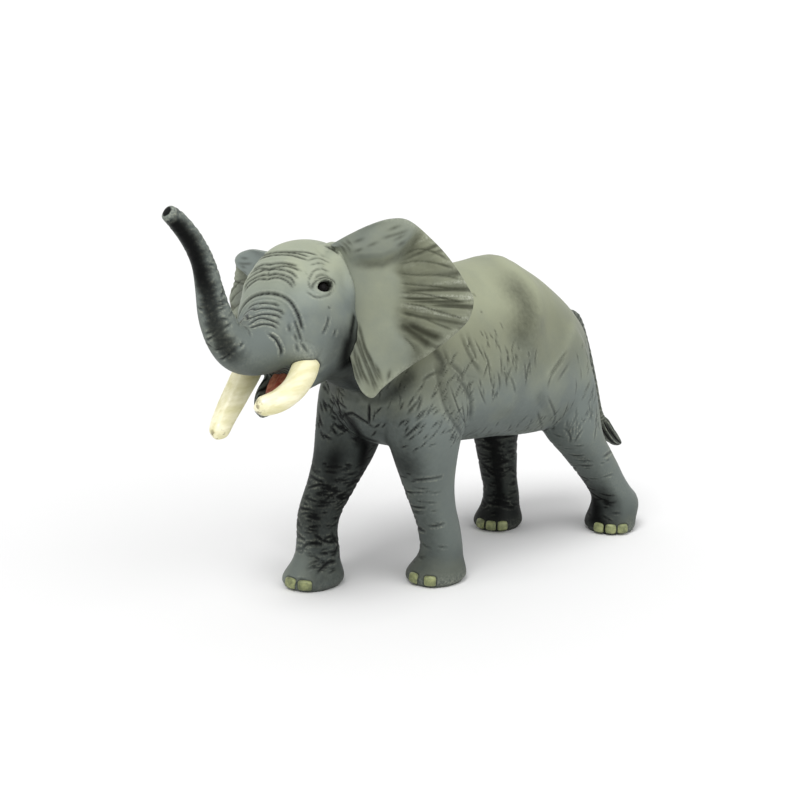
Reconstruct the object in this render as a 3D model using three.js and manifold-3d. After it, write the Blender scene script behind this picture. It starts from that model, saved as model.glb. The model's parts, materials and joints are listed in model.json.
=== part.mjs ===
// A moulded toy elephant that walks with its trunk raised, built from the pieces it is glued up from.
// Millimetres, +Z up. The animal faces -Y and its left side is +X. Table columns are shares of named sizes.
import * as THREE from "three";
import { mergeVertices } from "three/addons/utils/BufferGeometryUtils.js";
import Module from "manifold-3d";

const wasm = await Module();
wasm.setup();

// Driving sizes
const bodyLength = 100;
const bodyWidth = 50;
const backHeight = 100;
const legThickness = 20;
const headLength = 50;
const headWidth = 36;
const headHeight = 40;
const trunkReach = 50;
const trunkThickness = 16;
const earReach = 36;
const earHeight = 58;
const tuskReach = 30;
const tuskThickness = 8;
const jawLength = 30;
const jawWidth = 16;
const tailLength = 55;
const tailThickness = 4;

// Walls and fits
const shellWall = 3.6;
const seamGap = 0.3;
const seamMargin = 0.7;
const seamOverlap = 0.5;
const cutOverrun = 120;
const weldDistance = 0.0001;

// Fittings
const neckPegRadius = 9;
const neckPegLength = 9;
const trunkPegRadius = 4.5;
const trunkPegLength = 8;
const eyeRadius = 2.1;
const nailWidth = 4.4;
const nailHeight = 5;
const nailDepth = 3;
const nailSink = 0.9;
const earRootThickness = 3.4;
const earRimThickness = 1.5;
const earTenonDepth = 4;
const earCupDepth = 4;
const earTopRoll = 3;
const earFoldDepth = 0.9;
const earBandDepth = 2.3;
const earBandBlend = 3.6;

// Mesh fineness
const roundPower = 2.2;
const slabSides = 22;
const cavitySides = 14;
const legSides = 14;
const hornSides = 10;
const trunkSides = 14;
const nailSides = 6;
const slabSteps = 1;
const hornSteps = 2;

// Head carriage: turned towards its left, with the left side raised
const headYaw = THREE.MathUtils.degToRad(8);
const headRoll = THREE.MathUtils.degToRad(10);
const neckAlongShare = -0.5;
const neckHeightShare = 0.92;

// Torso stations: along and width as shares of the body, top and bottom as shares of the back height
const torsoShares = [
  [-0.53, 0.7, 0.6, 0.2, 0.0],
  [-0.5, 0.82, 0.51, 0.54, 0.05],
  [-0.42, 0.92, 0.46, 0.76, 0.16],
  [-0.3, 0.975, 0.44, 0.88, 0.22],
  [-0.14, 0.985, 0.425, 0.94, 0.26],
  [0.02, 0.995, 0.41, 0.97, 0.28],
  [0.12, 0.99, 0.395, 0.97, 0.3],
  [0.24, 0.935, 0.39, 0.94, 0.3],
  [0.35, 0.86, 0.41, 0.81, 0.24],
  [0.435, 0.79, 0.465, 0.58, 0.15],
  [0.485, 0.735, 0.53, 0.36, 0.0],
  [0.515, 0.68, 0.58, 0.12, 0.0],
];

// The hollow runs between these shares of the row of torso stations
const cavityFromShare = 0.14;
const cavityToShare = 0.88;

// Leg stations: height on the back height, side on the body width, along on the body length,
// across and depth on the leg thickness
const legShares = {
  front_left_leg: [
    [0.0, 0.21, -0.262, 0.78, 0.84],
    [0.012, 0.21, -0.262, 0.94, 1.0],
    [0.035, 0.21, -0.258, 0.9, 0.96],
    [0.075, 0.215, -0.245, 0.7, 0.74],
    [0.11, 0.22, -0.242, 0.64, 0.7],
    [0.18, 0.225, -0.258, 0.63, 0.71],
    [0.25, 0.23, -0.284, 0.64, 0.75],
    [0.33, 0.24, -0.309, 0.71, 0.86],
    [0.42, 0.26, -0.333, 0.84, 1.08],
    [0.52, 0.285, -0.35, 0.94, 1.34],
    [0.64, 0.3, -0.345, 0.94, 1.5],
    [0.76, 0.29, -0.33, 0.84, 1.2],
    [0.84, 0.27, -0.31, 0.5, 0.7],
  ],
  front_right_leg: [
    [0.0, -0.28, -0.572, 0.78, 0.86],
    [0.012, -0.28, -0.572, 0.94, 1.02],
    [0.035, -0.28, -0.568, 0.9, 0.98],
    [0.075, -0.28, -0.558, 0.72, 0.76],
    [0.116, -0.28, -0.55, 0.66, 0.7],
    [0.17, -0.28, -0.552, 0.62, 0.66],
    [0.225, -0.28, -0.54, 0.64, 0.72],
    [0.3, -0.275, -0.495, 0.7, 0.86],
    [0.4, -0.27, -0.438, 0.82, 1.08],
    [0.5, -0.28, -0.4, 0.92, 1.26],
    [0.62, -0.29, -0.37, 0.94, 1.32],
    [0.74, -0.285, -0.34, 0.84, 1.14],
    [0.82, -0.27, -0.32, 0.5, 0.7],
  ],
  rear_left_leg: [
    [0.0, 0.33, 0.555, 0.76, 0.78],
    [0.012, 0.33, 0.555, 0.92, 0.94],
    [0.035, 0.33, 0.558, 0.92, 0.94],
    [0.07, 0.33, 0.568, 0.84, 0.86],
    [0.11, 0.33, 0.565, 0.76, 0.78],
    [0.165, 0.325, 0.525, 0.72, 0.76],
    [0.22, 0.32, 0.48, 0.72, 0.8],
    [0.3, 0.31, 0.418, 0.8, 0.92],
    [0.38, 0.3, 0.354, 0.9, 1.04],
    [0.5, 0.28, 0.313, 0.98, 1.25],
    [0.62, 0.27, 0.277, 1.0, 1.24],
    [0.74, 0.25, 0.245, 0.84, 1.06],
    [0.81, 0.21, 0.2, 0.44, 0.6],
  ],
  rear_right_leg: [
    [0.0, -0.26, 0.285, 0.68, 0.72],
    [0.012, -0.26, 0.285, 0.82, 0.88],
    [0.035, -0.26, 0.288, 0.8, 0.86],
    [0.07, -0.26, 0.295, 0.66, 0.7],
    [0.12, -0.26, 0.3, 0.6, 0.62],
    [0.2, -0.26, 0.285, 0.62, 0.64],
    [0.31, -0.26, 0.27, 0.7, 0.76],
    [0.38, -0.27, 0.275, 0.82, 0.96],
    [0.5, -0.28, 0.29, 1.0, 1.36],
    [0.62, -0.27, 0.28, 1.02, 1.38],
    [0.74, -0.25, 0.25, 0.84, 1.1],
    [0.81, -0.21, 0.2, 0.44, 0.6],
  ],
};

// Head stations, from the neck forwards: along, top, bottom, width and pinch in the head's own frame
const headShares = [
  [0.3, 0.14, -0.5, 0.7, 0.0],
  [0.16, 0.2, -0.66, 0.82, 0.0],
  [0.0, 0.3, -0.68, 0.82, 0.05],
  [-0.16, 0.42, -0.64, 0.78, 0.06],
  [-0.32, 0.52, -0.53, 0.82, 0.08],
  [-0.48, 0.55, -0.48, 0.9, 0.1],
  [-0.62, 0.515, -0.46, 0.9, 0.1],
  [-0.72, 0.385, -0.42, 0.83, 0.08],
  [-0.81, 0.17, -0.35, 0.68, 0.05],
  [-0.88, 0.02, -0.31, 0.5, 0.0],
  [-0.92, -0.08, -0.24, 0.2, 0.0],
];

const neckSeamShare = -0.02;
const neckPegHeightShare = -0.2;

// Trunk stations: along and height on the trunk reach, thickness on the trunk thickness
const trunkShares = [
  [-0.6, 0.0, 1.3],
  [-0.74, -0.05, 1.24],
  [-0.9, -0.11, 1.1],
  [-1.05, -0.11, 0.87],
  [-1.15, -0.035, 0.71],
  [-1.21, 0.1, 0.6],
  [-1.225, 0.26, 0.49],
  [-1.24, 0.4, 0.42],
  [-1.295, 0.53, 0.39],
  [-1.38, 0.645, 0.36],
  [-1.455, 0.71, 0.31],
];
const trunkSeamShare = -0.87;
const trunkPegHeightShare = -0.1;

// Tusk stations: side, along and height on the tusk reach from the tusk root, thickness on its own
const tuskShares = {
  tusk_left: [
    [-0.1, 0.2, 0.16, 0.8],
    [-0.02, -0.0, -0.03, 0.94],
    [0.03, -0.23, -0.17, 0.86],
    [0.02, -0.45, -0.25, 0.8],
    [-0.06, -0.64, -0.27, 0.7],
    [-0.12, -0.72, -0.27, 0.42],
  ],
  tusk_right: [
    [0.06, 0.16, 0.24, 0.8],
    [0.0, 0.0, 0.0, 0.98],
    [-0.05, -0.18, -0.22, 0.92],
    [-0.07, -0.35, -0.4, 0.82],
    [-0.06, -0.48, -0.53, 0.7],
    [-0.05, -0.54, -0.59, 0.42],
  ],
};
const tuskRootSideShare = 0.31;
const tuskRootAlongShare = -0.78;
const tuskRootHeightShare = -0.32;

// Lower jaw stations: along, top and bottom on the jaw length, width on the jaw width
const jawShares = [
  [0.1, 0.26, -0.2, 1.0, 0.0],
  [-0.1, 0.2, -0.26, 1.0, 0.0],
  [-0.35, 0.1, -0.3, 0.92, 0.0],
  [-0.6, -0.02, -0.36, 0.84, 0.0],
  [-0.8, -0.16, -0.42, 0.66, 0.0],
  [-0.92, -0.3, -0.46, 0.34, 0.0],
];
const jawRootAlongShare = -0.42;
const jawRootHeightShare = -0.32;

// Tongue stations on the jaw's own sizes: along, top, bottom, width and pinch
const tongueShares = [
  [-0.06, 0.16, 0.02, 0.3, 0.0],
  [-0.2, 0.13, -0.08, 0.48, 0.0],
  [-0.45, 0.03, -0.2, 0.48, 0.0],
  [-0.65, -0.1, -0.3, 0.42, 0.0],
  [-0.77, -0.2, -0.37, 0.22, 0.0],
];

// The mouth is hollowed between the lips of the lower jaw, on the same sizes
const mouthShares = [
  [-0.24, 0.16, 0.06, 0.4, 0.0],
  [-0.36, 0.3, -0.04, 0.62, 0.0],
  [-0.58, 0.24, -0.16, 0.62, 0.0],
  [-0.76, 0.14, -0.29, 0.44, 0.0],
  [-0.86, 0.04, -0.34, 0.16, 0.0],
];

// Tail stations: side, along and height on the tail length, thickness on the tail thickness
const tailShares = [
  [0.0, -0.12, 0.03, 1.2],
  [0.0, 0.0, 0.0, 1.1],
  [0.0, 0.105, -0.18, 0.86],
  [0.025, 0.17, -0.42, 0.7],
  [0.035, 0.23, -0.64, 0.66],
  [0.035, 0.28, -0.74, 1.1],
  [0.04, 0.37, -0.84, 1.0],
  [0.045, 0.46, -0.9, 0.3],
];
const tailAlongShare = 0.52;
const tailHeightShare = 0.73;

// Ear outline: from the top of the root round the rim to its foot, on the ear's reach and height
const earRootShares = [
  [-0.1, 0.3],
  [-0.08, 0.12],
  [-0.02, -0.02],
  [0.0, -0.12],
];
const earRimShares = [
  [-0.14, 0.36],
  [0.05, 0.42],
  [0.22, 0.46],
  [0.38, 0.455],
  [0.53, 0.365],
  [0.71, 0.26],
  [0.86, 0.13],
  [0.92, 0.05],
  [0.88, -0.05],
  [0.76, -0.13],
  [0.58, -0.22],
  [0.36, -0.32],
  [0.21, -0.4],
  [0.13, -0.44],
  [0.04, -0.38],
  [-0.05, -0.28],
];
const ears = {
  ear_left: { side: 1, sweep: 38, tilt: -10, stretch: 1 },
  ear_right: { side: -1, sweep: 9, tilt: -14, stretch: 0.87 },
};
const earSideShare = 0.42;
const earAlongShare = -0.34;
const earHeightShare = 0.0;
const earSmoothShare = 0.4;
const earColumns = 30;
const earRows = 9;
const earFoldCount = 7;

// The top of the ear rolls forward above this line, on the ear's reach and height
const earBandShares = [
  [-0.19, 0.17],
  [-0.02, 0.226],
  [0.17, 0.236],
  [0.29, 0.27],
  [0.43, 0.364],
];
const earBandFromShare = 0.15;
const earBandFullShare = 0.45;

// Places on the head for the eyes
const eyeSideShare = 0.35;
const eyeAlongShare = -0.6;
const eyeHeightShare = 0.19;

// Toenail angles from straight ahead, positive towards the left
const nailAngles = {
  front_left_leg: [-52, -17, 17, 48],
  front_right_leg: [-60, -28, 2, 34],
  rear_left_leg: [-38, -8, 24, 58],
  rear_right_leg: [-34, -2, 30, 60],
};

const skinGrey = 0x7d837a;
const legGrey = 0x5f666b;
const ivory = 0xe9e2b8;
const mouthRed = 0x9c3a34;
const eyeBlack = 0x14110f;
const tailGrey = 0x4f5152;
const skinRoughness = 0.55;
const tuskRoughness = 0.4;
const eyeRoughness = 0.1;

// Catmull-Rom value between rows[i] and rows[i + 1], column by column
function rowAt(rows, place) {
  const last = rows.length - 1;
  const i = Math.min(Math.floor(place), last - 1);
  const t = place - i;
  const before = rows[Math.max(i - 1, 0)];
  const from = rows[i];
  const to = rows[i + 1];
  const after = rows[Math.min(i + 2, last)];
  return from.map((value, k) => {
    const slopeFrom = (to[k] - before[k]) / 2;
    const slopeTo = (after[k] - value) / 2;
    const rise = to[k] - value;
    const bend = 3 * rise - 2 * slopeFrom - slopeTo;
    const twist = slopeFrom + slopeTo - 2 * rise;
    return value + t * (slopeFrom + t * (bend + t * twist));
  });
}

function smoothRows(rows, stepsPerRow, fromShare = 0, toShare = 1) {
  const count = Math.round((rows.length - 1) * stepsPerRow);
  const span = rows.length - 1;
  return Array.from({ length: count + 1 }, (_, i) => {
    const share = fromShare + ((toShare - fromShare) * i) / count;
    return rowAt(rows, share * span);
  });
}

// A closed skin over a row of rings, each ring a loop of as many points
function skinOver(rings) {
  const sides = rings[0].length;
  const positions = rings.flat().flatMap((p) => [p.x, p.y, p.z]);
  const index = [];
  const middle = (ring) => ring.reduce((sum, p) => sum.add(p), new THREE.Vector3()).divideScalar(sides);
  rings.slice(1).forEach((_, i) => {
    for (let k = 0; k < sides; k++) {
      const a = i * sides + k;
      const b = i * sides + ((k + 1) % sides);
      index.push(a, b, b + sides, a, b + sides, a + sides);
    }
  });
  [0, rings.length - 1].forEach((i) => {
    const hub = positions.length / 3;
    const centre = middle(rings[i]);
    positions.push(centre.x, centre.y, centre.z);
    for (let k = 0; k < sides; k++) {
      const a = i * sides + k;
      const b = i * sides + ((k + 1) % sides);
      index.push(hub, ...(i ? [a, b] : [b, a]));
    }
  });
  const geometry = new THREE.BufferGeometry();
  geometry.setAttribute("position", new THREE.Float32BufferAttribute(positions, 3));
  geometry.setIndex(index);
  return facingOut(geometry);
}

// The same surface with its triangles turned so that its volume is positive
function facingOut(geometry) {
  const p = geometry.attributes.position;
  const index = geometry.index.array;
  const corner = (i) => new THREE.Vector3().fromBufferAttribute(p, index[i]);
  let volume = 0;
  for (let i = 0; i < index.length; i += 3) {
    volume += corner(i).dot(corner(i + 1).cross(corner(i + 2)));
  }
  if (volume < 0) {
    for (let i = 0; i < index.length; i += 3) {
      [index[i + 1], index[i + 2]] = [index[i + 2], index[i + 1]];
    }
  }
  return geometry;
}

function solidOf(geometry) {
  const bare = new THREE.BufferGeometry();
  bare.setAttribute("position", geometry.attributes.position);
  bare.setIndex(geometry.index);
  const merged = mergeVertices(bare, weldDistance);
  return new wasm.Manifold(
    new wasm.Mesh({
      numProp: 3,
      vertProperties: merged.attributes.position.array,
      triVerts: new Uint32Array(merged.index.array),
    }),
  );
}

function geometryOf(solid) {
  const mesh = solid.getMesh();
  const geometry = new THREE.BufferGeometry();
  geometry.setAttribute("position", new THREE.Float32BufferAttribute(mesh.vertProperties, 3));
  geometry.setIndex(Array.from(mesh.triVerts));
  return geometry;
}

// A rounded-square ring about a centre, pinched towards its top
function roundRing(centre, across, up, halfAcross, halfUp, sides, pinch = 0) {
  return Array.from({ length: sides }, (_, k) => {
    const angle = (2 * Math.PI * (k + 0.5)) / sides;
    const bend = (v) => Math.sign(v) * Math.abs(v) ** (2 / roundPower);
    const c = bend(Math.cos(angle)) * (1 - pinch * Math.sin(angle));
    const s = bend(Math.sin(angle));
    return centre.clone().addScaledVector(across, c * halfAcross).addScaledVector(up, s * halfUp);
  });
}

const sideways = new THREE.Vector3(1, 0, 0);
const backwards = new THREE.Vector3(0, 1, 0);
const upwards = new THREE.Vector3(0, 0, 1);

// Upright rings along Y: the rows are along, top, bottom, width and pinch
function slabForm(rows, length, height, width, grow, sides, endGrow = grow) {
  const last = rows.length - 1;
  const forward = Math.sign(rows[last][0] - rows[0][0]);
  const rings = rows.map(([along, top, bottom, wide, pinch], i) => {
    const end = i === 0 ? -1 : i === last ? 1 : 0;
    const middle = ((top + bottom) / 2) * height;
    const centre = new THREE.Vector3(0, along * length + end * forward * endGrow, middle);
    const halfWide = (wide * width) / 2 + grow;
    const halfTall = ((top - bottom) / 2) * height + grow;
    return roundRing(centre, sideways, upwards, halfWide, halfTall, sides, pinch);
  });
  return skinOver(rings);
}

function torsoForm() {
  const rows = smoothRows(torsoShares, slabSteps);
  return solidOf(slabForm(rows, bodyLength, backHeight, bodyWidth, 0, slabSides));
}

// The hollow inside the torso shells, a wall's thickness in from their skin
function cavityForm() {
  const rows = smoothRows(torsoShares, slabSteps, cavityFromShare, cavityToShare);
  return solidOf(slabForm(rows, bodyLength, backHeight, bodyWidth, -shellWall, cavitySides, 0));
}

// Level rings up a leg. Reach carries the form on outwards, past the skin of the flank.
function legForm(name, grow, reach) {
  const rows = smoothRows(legShares[name], slabSteps);
  const last = rows.length - 1;
  const rings = rows.map(([height, side, along, across, depth], i) => {
    const lift = i === last ? grow : i === 0 ? -grow : 0;
    const x = side * bodyWidth + (Math.sign(side) * reach) / 2;
    const centre = new THREE.Vector3(x, along * bodyLength, height * backHeight + lift);
    const halfAcross = (across * legThickness + reach) / 2 + grow;
    const halfDepth = (depth * legThickness) / 2 + grow;
    return roundRing(centre, sideways, backwards, halfAcross, halfDepth, legSides);
  });
  return solidOf(skinOver(rings));
}

// Everything that belongs to a leg: its own form, and the skin of the flank outside it
const legZone = (name, grow) => legForm(name, grow, 0).add(legForm(name, grow, bodyWidth));

// Rings square to a path, for the trunk, the tusks and the tail
function pathForm(rows, grow, sides) {
  const points = rows.map(([x, y, z]) => new THREE.Vector3(x, y, z));
  const last = points.length - 1;
  const rings = points.map((point, i) => {
    const along = points[Math.min(i + 1, last)].clone().sub(points[Math.max(i - 1, 0)]).normalize();
    const across = sideways.clone().addScaledVector(along, -along.x).normalize();
    const up = new THREE.Vector3().crossVectors(along, across);
    const reach = i === 0 ? -grow : i === last ? grow : 0;
    const centre = point.clone().addScaledVector(along, reach);
    const half = rows[i][3] / 2 + grow;
    return roundRing(centre, across, up, half, half, sides);
  });
  return skinOver(rings);
}

// Head frame to part frame
const headFrame = new THREE.Matrix4()
  .makeTranslation(0, neckAlongShare * bodyLength, neckHeightShare * backHeight)
  .multiply(new THREE.Matrix4().makeRotationZ(headYaw))
  .multiply(new THREE.Matrix4().makeRotationY(-headRoll));
const onHead = (geometry) => solidOf(geometry.applyMatrix4(headFrame));

function headForm(grow) {
  const rows = smoothRows(headShares, slabSteps);
  return onHead(slabForm(rows, headLength, headHeight, headWidth, grow, slabSides));
}

function trunkForm() {
  const rows = smoothRows(trunkShares, hornSteps).map(([along, height, thick]) => [
    0,
    along * trunkReach,
    height * trunkReach,
    thick * trunkThickness,
  ]);
  return onHead(pathForm(rows, 0, trunkSides));
}

function tuskForm(name, side, grow) {
  const rows = smoothRows(tuskShares[name], hornSteps).map(([across, along, height, thick]) => [
    side * tuskRootSideShare * headWidth + across * tuskReach,
    tuskRootAlongShare * headLength + along * tuskReach,
    tuskRootHeightShare * headHeight + height * tuskReach,
    thick * tuskThickness,
  ]);
  return onHead(pathForm(rows, grow, hornSides));
}

function mouthForm(shares, grow) {
  const rows = smoothRows(shares, slabSteps);
  const geometry = slabForm(rows, jawLength, jawLength, jawWidth, grow, hornSides);
  geometry.translate(0, jawRootAlongShare * headLength, jawRootHeightShare * headHeight);
  return onHead(geometry);
}

const jawForm = (grow) => mouthForm(jawShares, grow);
const tongueForm = (grow) => mouthForm(tongueShares, grow);

function eyeForm(side, grow) {
  const geometry = new THREE.SphereGeometry(eyeRadius + grow, hornSides, hornSides);
  geometry.translate(side * eyeSideShare * headWidth, eyeAlongShare * headLength, eyeHeightShare * headHeight);
  return onHead(geometry);
}

function tailForm(grow) {
  const rows = smoothRows(tailShares, hornSteps).map(([across, along, height, thick]) => [
    across * tailLength,
    tailAlongShare * bodyLength + along * tailLength,
    tailHeightShare * backHeight + height * tailLength,
    thick * tailThickness,
  ]);
  return solidOf(pathForm(rows, grow, hornSides));
}

// The ear's root and rim in its own plane, moved outwards by grow
function earOutline(name, grow) {
  const { stretch } = ears[name];
  const edge = (shares, tenon) =>
    Array.from({ length: earColumns + 1 }, (_, i) => {
      const [out, up] = rowAt(shares, (i / earColumns) * (shares.length - 1));
      return new THREE.Vector2(out * earReach - tenon, up * earHeight * stretch);
    });
  const loop = [...edge(earRimShares, 0), ...edge(earRootShares, earTenonDepth).reverse()];
  const grown = loop.map((point, i) => {
    const before = loop[(i + loop.length - 1) % loop.length];
    const along = loop[(i + 1) % loop.length].clone().sub(before).normalize();
    return new THREE.Vector2(-along.y, along.x).multiplyScalar(grow).add(point);
  });
  return { rim: grown.slice(0, earColumns + 1), root: grown.slice(earColumns + 1).reverse() };
}

// How far the ear's rolled top stands forward at a place in its plane, a share t out from the root
function bandRoll(place, t, stretch) {
  const line = earBandShares.map(([out, up]) => [out * earReach, up * earHeight]);
  const last = line[line.length - 1][0];
  const x = THREE.MathUtils.clamp(place.x, line[0][0], last);
  const i = Math.max(line.slice(0, -1).findLastIndex(([out]) => out <= x), 0);
  const [from, to] = [line[i], line[i + 1]];
  const height = from[1] + ((x - from[0]) / (to[0] - from[0])) * (to[1] - from[1]);
  const above = THREE.MathUtils.smoothstep(place.y / stretch - height, 0, earBandBlend);
  const inside = 1 - THREE.MathUtils.smoothstep(place.x, last - earBandBlend, last + earBandBlend);
  return earBandDepth * above * inside * THREE.MathUtils.smoothstep(t, earBandFromShare, earBandFullShare);
}

// A cupped sheet from the ear's root to its rim, rolled along its top and ruffled towards the rim
function earForm(name, grow) {
  const { side, sweep, tilt, stretch } = ears[name];
  const { rim, root } = earOutline(name, grow);
  const front = [];
  const back = [];
  for (let i = 0; i <= earColumns; i++) {
    for (let j = 0; j <= earRows; j++) {
      const t = j / earRows;
      const place = root[i].clone().lerp(rim[i], t);
      const fold = Math.sin((i / earColumns) * 2 * Math.PI * earFoldCount);
      const ruffle = fold * earFoldDepth * Math.max(t - earSmoothShare, 0);
      const topShare = Math.max(place.y / earHeight, 0);
      const reachShare = place.distanceTo(root[i]) / earReach;
      const cup = earCupDepth * reachShare ** 2 + ruffle;
      const depth = cup - earTopRoll * topShare * t - bandRoll(place, t, stretch);
      const half = THREE.MathUtils.lerp(earRootThickness, earRimThickness, t) / 2 + grow;
      front.push(new THREE.Vector3(place.x, depth - half, place.y));
      back.push(new THREE.Vector3(place.x, depth + half, place.y));
    }
  }
  const geometry = sheetBetween(front, back, earColumns + 1, earRows + 1);
  geometry.rotateY(THREE.MathUtils.degToRad(-tilt));
  geometry.rotateZ(THREE.MathUtils.degToRad(sweep));
  geometry.scale(side, 1, 1);
  geometry.translate(side * earSideShare * headWidth, earAlongShare * headLength, earHeightShare * headHeight);
  return onHead(facingOut(geometry));
}

// Two point grids, columns by rows, joined round their edges into one closed sheet
function sheetBetween(front, back, columns, rows) {
  const count = columns * rows;
  const positions = [...front, ...back].flatMap((p) => [p.x, p.y, p.z]);
  const index = [];
  const at = (i, j) => i * rows + j;
  for (let i = 0; i < columns - 1; i++) {
    for (let j = 0; j < rows - 1; j++) {
      const [a, b, c, d] = [at(i, j), at(i + 1, j), at(i + 1, j + 1), at(i, j + 1)];
      index.push(a, b, c, a, c, d);
      index.push(count + a, count + c, count + b, count + a, count + d, count + c);
    }
  }
  const edge = [];
  for (let i = 0; i < columns - 1; i++) edge.push(at(i, 0));
  for (let j = 0; j < rows - 1; j++) edge.push(at(columns - 1, j));
  for (let i = columns - 1; i > 0; i--) edge.push(at(i, rows - 1));
  for (let j = rows - 1; j > 0; j--) edge.push(at(0, j));
  edge.forEach((a, k) => {
    const b = edge[(k + 1) % edge.length];
    index.push(a, count + a, count + b, a, count + b, b);
  });
  const geometry = new THREE.BufferGeometry();
  geometry.setAttribute("position", new THREE.Float32BufferAttribute(positions, 3));
  geometry.setIndex(index);
  return facingOut(geometry);
}

// A block in the head's frame that holds everything in front of a place along it
function blockAhead(along) {
  const geometry = new THREE.BoxGeometry(cutOverrun, cutOverrun, cutOverrun);
  geometry.translate(0, along - cutOverrun / 2, 0);
  return onHead(geometry);
}

// A round peg along the head's frame, from one place to another
function pegForm(radius, from, to, height) {
  const geometry = new THREE.CylinderGeometry(radius, radius, to - from, legSides);
  geometry.translate(0, (from + to) / 2, height);
  return onHead(geometry);
}

// The block on one side of the middle plane, which parts the torso into its two shells
function sideBlock(side) {
  const geometry = new THREE.BoxGeometry(bodyWidth, bodyLength + cutOverrun, backHeight + cutOverrun);
  geometry.translate(side * (bodyWidth / 2 + seamGap / 2), 0, backHeight / 2);
  return solidOf(geometry);
}

// Toenails stand out of the front of a foot, level with the leg's third station
function nailForms(name) {
  const [, , [height, side, along, across, depth]] = legShares[name];
  return nailAngles[name].map((degrees) => {
    const angle = THREE.MathUtils.degToRad(degrees);
    const geometry = new THREE.SphereGeometry(nailWidth / 2, nailSides, nailSides);
    geometry.scale(1, nailDepth / nailWidth, nailHeight / nailWidth);
    geometry.rotateZ(angle);
    geometry.translate(
      side * bodyWidth + ((across * legThickness) / 2 - nailSink) * Math.sin(angle),
      along * bodyLength - ((depth * legThickness) / 2 - nailSink) * Math.cos(angle),
      height * backHeight,
    );
    return solidOf(geometry);
  });
}

const withAll = (solid, forms) => forms.reduce((sum, form) => sum.add(form), solid);
const without = (solid, forms) => forms.reduce((left, form) => left.subtract(form), solid);

const legNames = Object.keys(legShares);
const cavity = cavityForm();
const body = withAll(
  torsoForm(),
  legNames.map((name) => legForm(name, 0, 0)),
);
const bodyAndNeck = body.add(headForm(0));

// Every loose form of the face is let into what holds it, with the seam gap all round
const faceHoles = [
  tuskForm("tusk_left", 1, seamGap),
  tuskForm("tusk_right", -1, seamGap),
  jawForm(seamGap),
  tongueForm(seamGap),
  eyeForm(1, seamGap),
  eyeForm(-1, seamGap),
  earForm("ear_left", seamGap),
  earForm("ear_right", seamGap),
];

const neckSeam = neckSeamShare * headLength;
const neckPegHeight = neckPegHeightShare * headHeight;
const neckPegEnd = neckSeam + neckPegLength;
const headZone = headForm(seamMargin).intersect(blockAhead(neckSeam));
const headHole = headForm(seamMargin + seamGap).intersect(blockAhead(neckSeam + seamGap));
const neckPeg = pegForm(neckPegRadius, neckSeam - seamOverlap, neckPegEnd, neckPegHeight);
const neckPegHole = pegForm(neckPegRadius + seamGap, neckSeam, neckPegEnd + seamGap, neckPegHeight);

const trunkSeam = trunkSeamShare * trunkReach;
const trunkPegHeight = trunkPegHeightShare * trunkReach;
const trunkPegEnd = trunkSeam + trunkPegLength;
const trunkPeg = pegForm(trunkPegRadius, trunkSeam - seamOverlap, trunkPegEnd, trunkPegHeight);
const trunkPegHole = pegForm(trunkPegRadius + seamGap, trunkSeam, trunkPegEnd + seamGap, trunkPegHeight);

const skull = bodyAndNeck.intersect(headZone).add(trunkForm());
const torsoHoles = [
  cavity,
  headHole,
  neckPegHole,
  tailForm(seamGap),
  ...legNames.map((name) => legZone(name, seamMargin + seamGap)),
];
const torso = without(bodyAndNeck, torsoHoles);

const part = new THREE.Group();
const figure = new THREE.Group();
part.add(figure);

function addPiece(name, solid, color, roughness) {
  const material = new THREE.MeshStandardMaterial({ color, roughness, metalness: 0 });
  const mesh = new THREE.Mesh(geometryOf(solid), material);
  mesh.name = name;
  figure.add(mesh);
}

addPiece("torso_left_shell", torso.intersect(sideBlock(1)), skinGrey, skinRoughness);
addPiece("torso_right_shell", torso.intersect(sideBlock(-1)), skinGrey, skinRoughness);
legNames.forEach((name) => {
  const leg = withAll(body, nailForms(name)).intersect(legZone(name, seamMargin));
  addPiece(name, without(leg, [cavity, headHole]), legGrey, skinRoughness);
});
addPiece(
  "head",
  without(skull.subtract(blockAhead(trunkSeam + seamGap)).add(neckPeg), [trunkPegHole, ...faceHoles]),
  skinGrey,
  skinRoughness,
);
addPiece(
  "trunk",
  without(skull.intersect(blockAhead(trunkSeam)).add(trunkPeg), faceHoles),
  skinGrey,
  skinRoughness,
);
const mouthHollow = mouthForm(mouthShares, 0);
addPiece("lower_jaw", without(jawForm(0), [mouthHollow, tongueForm(seamGap)]), skinGrey, skinRoughness);
addPiece("tongue", tongueForm(0), mouthRed, skinRoughness);
addPiece("tusk_left", tuskForm("tusk_left", 1, 0), ivory, tuskRoughness);
addPiece("tusk_right", tuskForm("tusk_right", -1, 0), ivory, tuskRoughness);
addPiece("ear_left", earForm("ear_left", 0), skinGrey, skinRoughness);
addPiece("ear_right", earForm("ear_right", 0), skinGrey, skinRoughness);
addPiece("eye_left", eyeForm(1, 0), eyeBlack, eyeRoughness);
addPiece("eye_right", eyeForm(-1, 0), eyeBlack, eyeRoughness);
addPiece("tail", tailForm(0), tailGrey, skinRoughness);

// The origin is on the ground under the middle of the whole figure
const bounds = new THREE.Box3().setFromObject(figure);
const centre = bounds.getCenter(new THREE.Vector3());
figure.position.set(-centre.x, -centre.y, -bounds.min.z);

export default part;
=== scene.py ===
# Looks of a moulded, hand-painted toy elephant: the folds and wrinkles of its hide, and its paint.
# Metres, +Z up. The animal faces -Y and its left side is +X. Table columns are shares of named sizes.
import json
import math

import bmesh
import bpy
import numpy as np
from mathutils import Matrix, Vector, kdtree
from mathutils.bvhtree import BVHTree

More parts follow.
